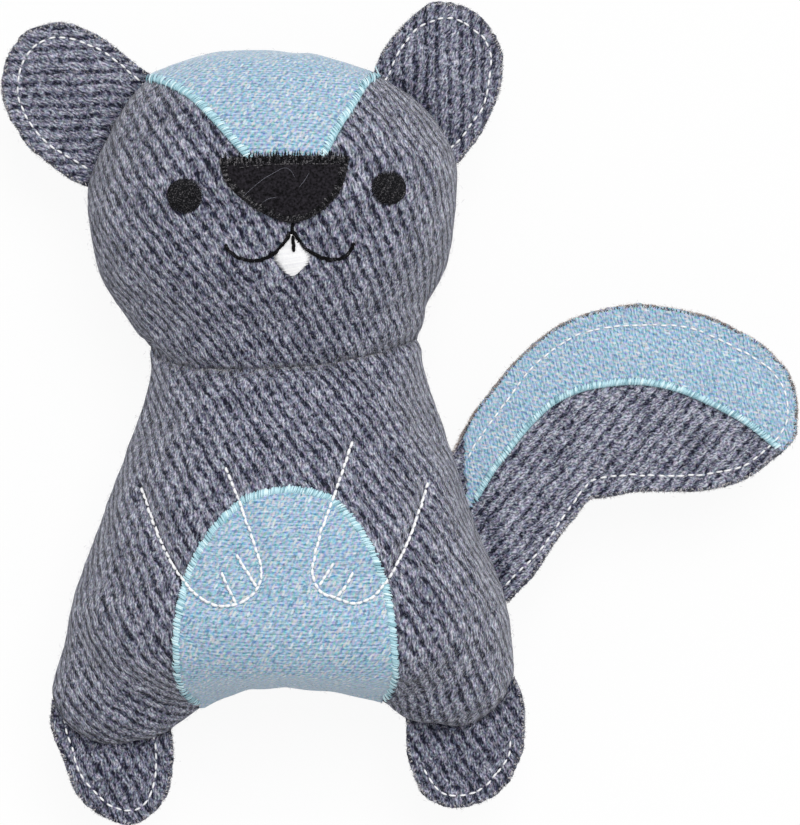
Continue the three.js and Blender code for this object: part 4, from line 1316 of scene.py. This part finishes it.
def brushed(name, piece, count):
    """Fibres at random places of a cloth, leaning along it and lifting at their tips."""
    faces = piece.data.polygons
    areas = rows_of(faces, "area", 1)[:, 0].astype(np.float32)
    middles, ways = rows_of(faces, "center", 3), rows_of(faces, "normal", 3)
    chance = areas * (ways[:, 2] * np.sign(above_side_seam(middles)) > -0.1)
    chance = chance / chance.sum()
    chosen = fibre_dice.choice(len(areas), count, p=chance)
    root = middles[chosen] + fibre_dice.normal(0, 0.0006, (count, 3)) * [1, 1, 0.2]
    way = ways[chosen]
    lean = fibre_dice.normal(size=(count, 3))
    lean = unit(lean - way * np.einsum("ij,ij->i", lean, way)[:, None])
    length = fibre_dice.uniform(shortest_fibre, longest_fibre, count)[:, None]
    up = fibre_dice.uniform(0.1, 0.45, count)[:, None]
    half_way = root + lean * length * 0.5 + way * length * up * 0.35
    tip = root + lean * length * 0.9 + way * length * up * 0.9
    runs = np.stack([root - way * 0.0002, half_way, tip], 1)
    runs[:, :, 2] = np.maximum(runs[:, :, 2], 0.0003)
    tints = fibre_dice.uniform(0.15, 1.0, count)
    ups = way[:, None].repeat(3, 1)
    return thread_mesh(name, runs, ups, fibre_width, fibre_width, tints, sides=3, blunt=0.4)


for skin, count in (
    (head_skin, 9000), (body_skin, 11000), (head_back_skin, 5000), (body_back_skin, 6000),
):
    fibres = brushed(skin.name.replace("_cloth_", "_fibres_"), skin, count)
    fibres.data.materials.append(wool_fuzz)
    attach(fibres, "torso")
    if skin in (head_skin, body_skin):
        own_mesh(fibres)

hairs = []
for trace in hair_traces:
    places, ways = laid_on(stuffed_top, drawn_line(seam_spots(trace), 0.001))
    run = (places + ways * 0.0003)[None]
    hairs.append(thread_mesh("hair", run, ways[None], hair_width, hair_width, [0.42], sides=4))
sew_on(joined("stray_hairs", hairs), wool_fuzz)

for name, flap in flaps.items():
    edge, ahead, away = flap["edge_line"], flap["ahead"], flap["away"]
    fray_density, tuft_density, ply_fibres = (14, 3, 1200) if name == "tail" else (6, 3, 420)
    count = len(edge) * fray_density
    chosen = fibre_dice.integers(0, len(edge), count)
    start = edge[chosen] + ahead[chosen] * fibre_dice.uniform(-edge_slip, edge_slip, (count, 1))
    drift = unit(away[chosen] * 0.6 + ahead[chosen] * fibre_dice.normal(0, 1.1, (count, 1)))
    length = 0.0001 + 0.0008 * fibre_dice.uniform(0, 1, (count, 1)) ** 2
    level = seam_height + fibre_dice.uniform(-0.0011, 0.0012, count)
    sway = fibre_dice.normal(0, 0.0003, (count, 2))
    rooted = np.column_stack([start - drift * 0.0008, level])
    middle = start + drift * length * 0.5 + sway[:, :1] * 0.3
    half_way = np.column_stack([middle, level + sway[:, 1] * 0.5])
    tip = np.column_stack([start + drift * length, level + sway[:, 1]])
    runs = np.stack([rooted, half_way, tip], 1)
    ups = np.zeros_like(runs)
    ups[:, :, 2] = 1
    tints = fibre_dice.uniform(0.1, 0.8, count)
    if name == "tail":
        brown = chosen < len(edge) * lined_share
        tints[brown] = fibre_dice.uniform(0.72, 1.0, np.count_nonzero(brown))
        lining = fibre_dice.uniform(0.0014, 0.0022, np.count_nonzero(brown))
        runs[brown, :2, 2] = seam_height + lining[:, None]
    fray = thread_mesh(f"{name}_frayed_edge", runs, ups, hair_width, 0.00008, tints, sides=3, blunt=0.4)
    count = len(edge) * tuft_density
    chosen = fibre_dice.integers(0, len(edge), count)
    lean = unit(away[chosen] + ahead[chosen] * fibre_dice.normal(0, 0.9, (count, 1)))
    start = edge[chosen] + ahead[chosen] * fibre_dice.uniform(-edge_slip, edge_slip, (count, 1))
    start -= away[chosen] * 0.0009
    length = fibre_dice.uniform(0.0006, 0.0012, (count, 1))
    flat_runs = start[:, None] + lean[:, None] * length[:, None] * np.linspace(0, 1, 3)[None, :, None]
    places, ways = laid_on(flap_tops[name], flat_runs)
    places[:, :, :2] = flat_runs
    tints = np.where(fibre_dice.uniform(0, 1, count) < 0.6, 0.02, 0.62)
    tints += fibre_dice.uniform(0, 0.1, count)
    tufts = thread_mesh(f"{name}_tufts", places, ways, tuft_width, 0.00024, tints, sides=4, blunt=0.4)
    words = zip(flap["plies"], ("front", "back"))
    plies = [brushed(f"{name}_fibres_{word}", ply, ply_fibres) for ply, word in words]
    fray = joined(f"{name}_loose_fibres", [fray, tufts] + plies)
    sew_on(fray, edge_fuzz, bend=flap["bend"])

# ---------------------------------------------------------------- filling
# Loose polyester fibre fills the head and the body, packed round the squeaker in two layers.
# It keeps a little off the inside of the cloths.
cloth_clearance = 0.0024
wadding_voxel = 0.0035
fibre_white = grained(
    "white_fibre_filling", 260.0, 5.0, [(0.3, (206, 206, 204)), (0.7, (244, 244, 242))], 0.9, 0.002,
    {"Roughness": 0.9, "Sheen Weight": 0.3},
)
for node in ("head_filling", "body_filling_front", "body_filling_back"):
    wad = welded_copy(node.replace("filling", "wadding"), [node])
    finish_modifier(wad, "REMESH", mode="VOXEL", voxel_size=wadding_voxel)
    finish_modifier(wad, "SMOOTH", factor=0.5, iterations=4)
    places = spots_of(wad)
    places -= normals_of(wad) * (0.0012 + 0.0006 * soft_noise(places, 0.012, 9))[:, None]
    for index, place in enumerate(places):
        skin_spot, way, _, _ = cloth_tree.find_nearest(Vector(place))
        if (skin_spot - Vector(place)).dot(way) < cloth_clearance:
            places[index] = skin_spot - way * cloth_clearance
    put_spots(wad, places)
    wad.data.shade_smooth()
    wad.data.materials.append(fibre_white)
    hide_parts(node)
    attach(wad, "torso")
    if node != "body_filling_back":
        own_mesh(wad)

# ---------------------------------------------------------------- squeaker
# A blow-moulded soft plastic bulb with a folded wall and a crown, a plug with the air hole pressed
# into its base, and a thin reed in the plug that sounds when air goes past it.


def moulded_plastic(name, deep, pale, roughness):
    stops = [(0.3, deep), (0.7, pale)]
    return grained(name, 180.0, 3.0, stops, 0.15, 0.0002, {"Roughness": roughness})


bulb_plastic = moulded_plastic("soft_white_plastic", (222, 224, 226), (240, 241, 242), roughness=0.42)
reed_plastic = moulded_plastic("clear_reed_plastic", (196, 206, 212), (222, 230, 234), roughness=0.3)
bellows = welded_copy("squeaker_bellows", ["squeaker_bulb"])
bellows.data.shade_smooth()
bellows.data.materials.append(bulb_plastic)
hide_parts("squeaker_bulb")
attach(bellows, "torso")
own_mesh(bellows)
dress(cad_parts["squeaker_crown"], bulb_plastic)
dress(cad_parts["squeaker_plug"], bulb_plastic)
dress(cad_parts["squeaker_reed"], reed_plastic)
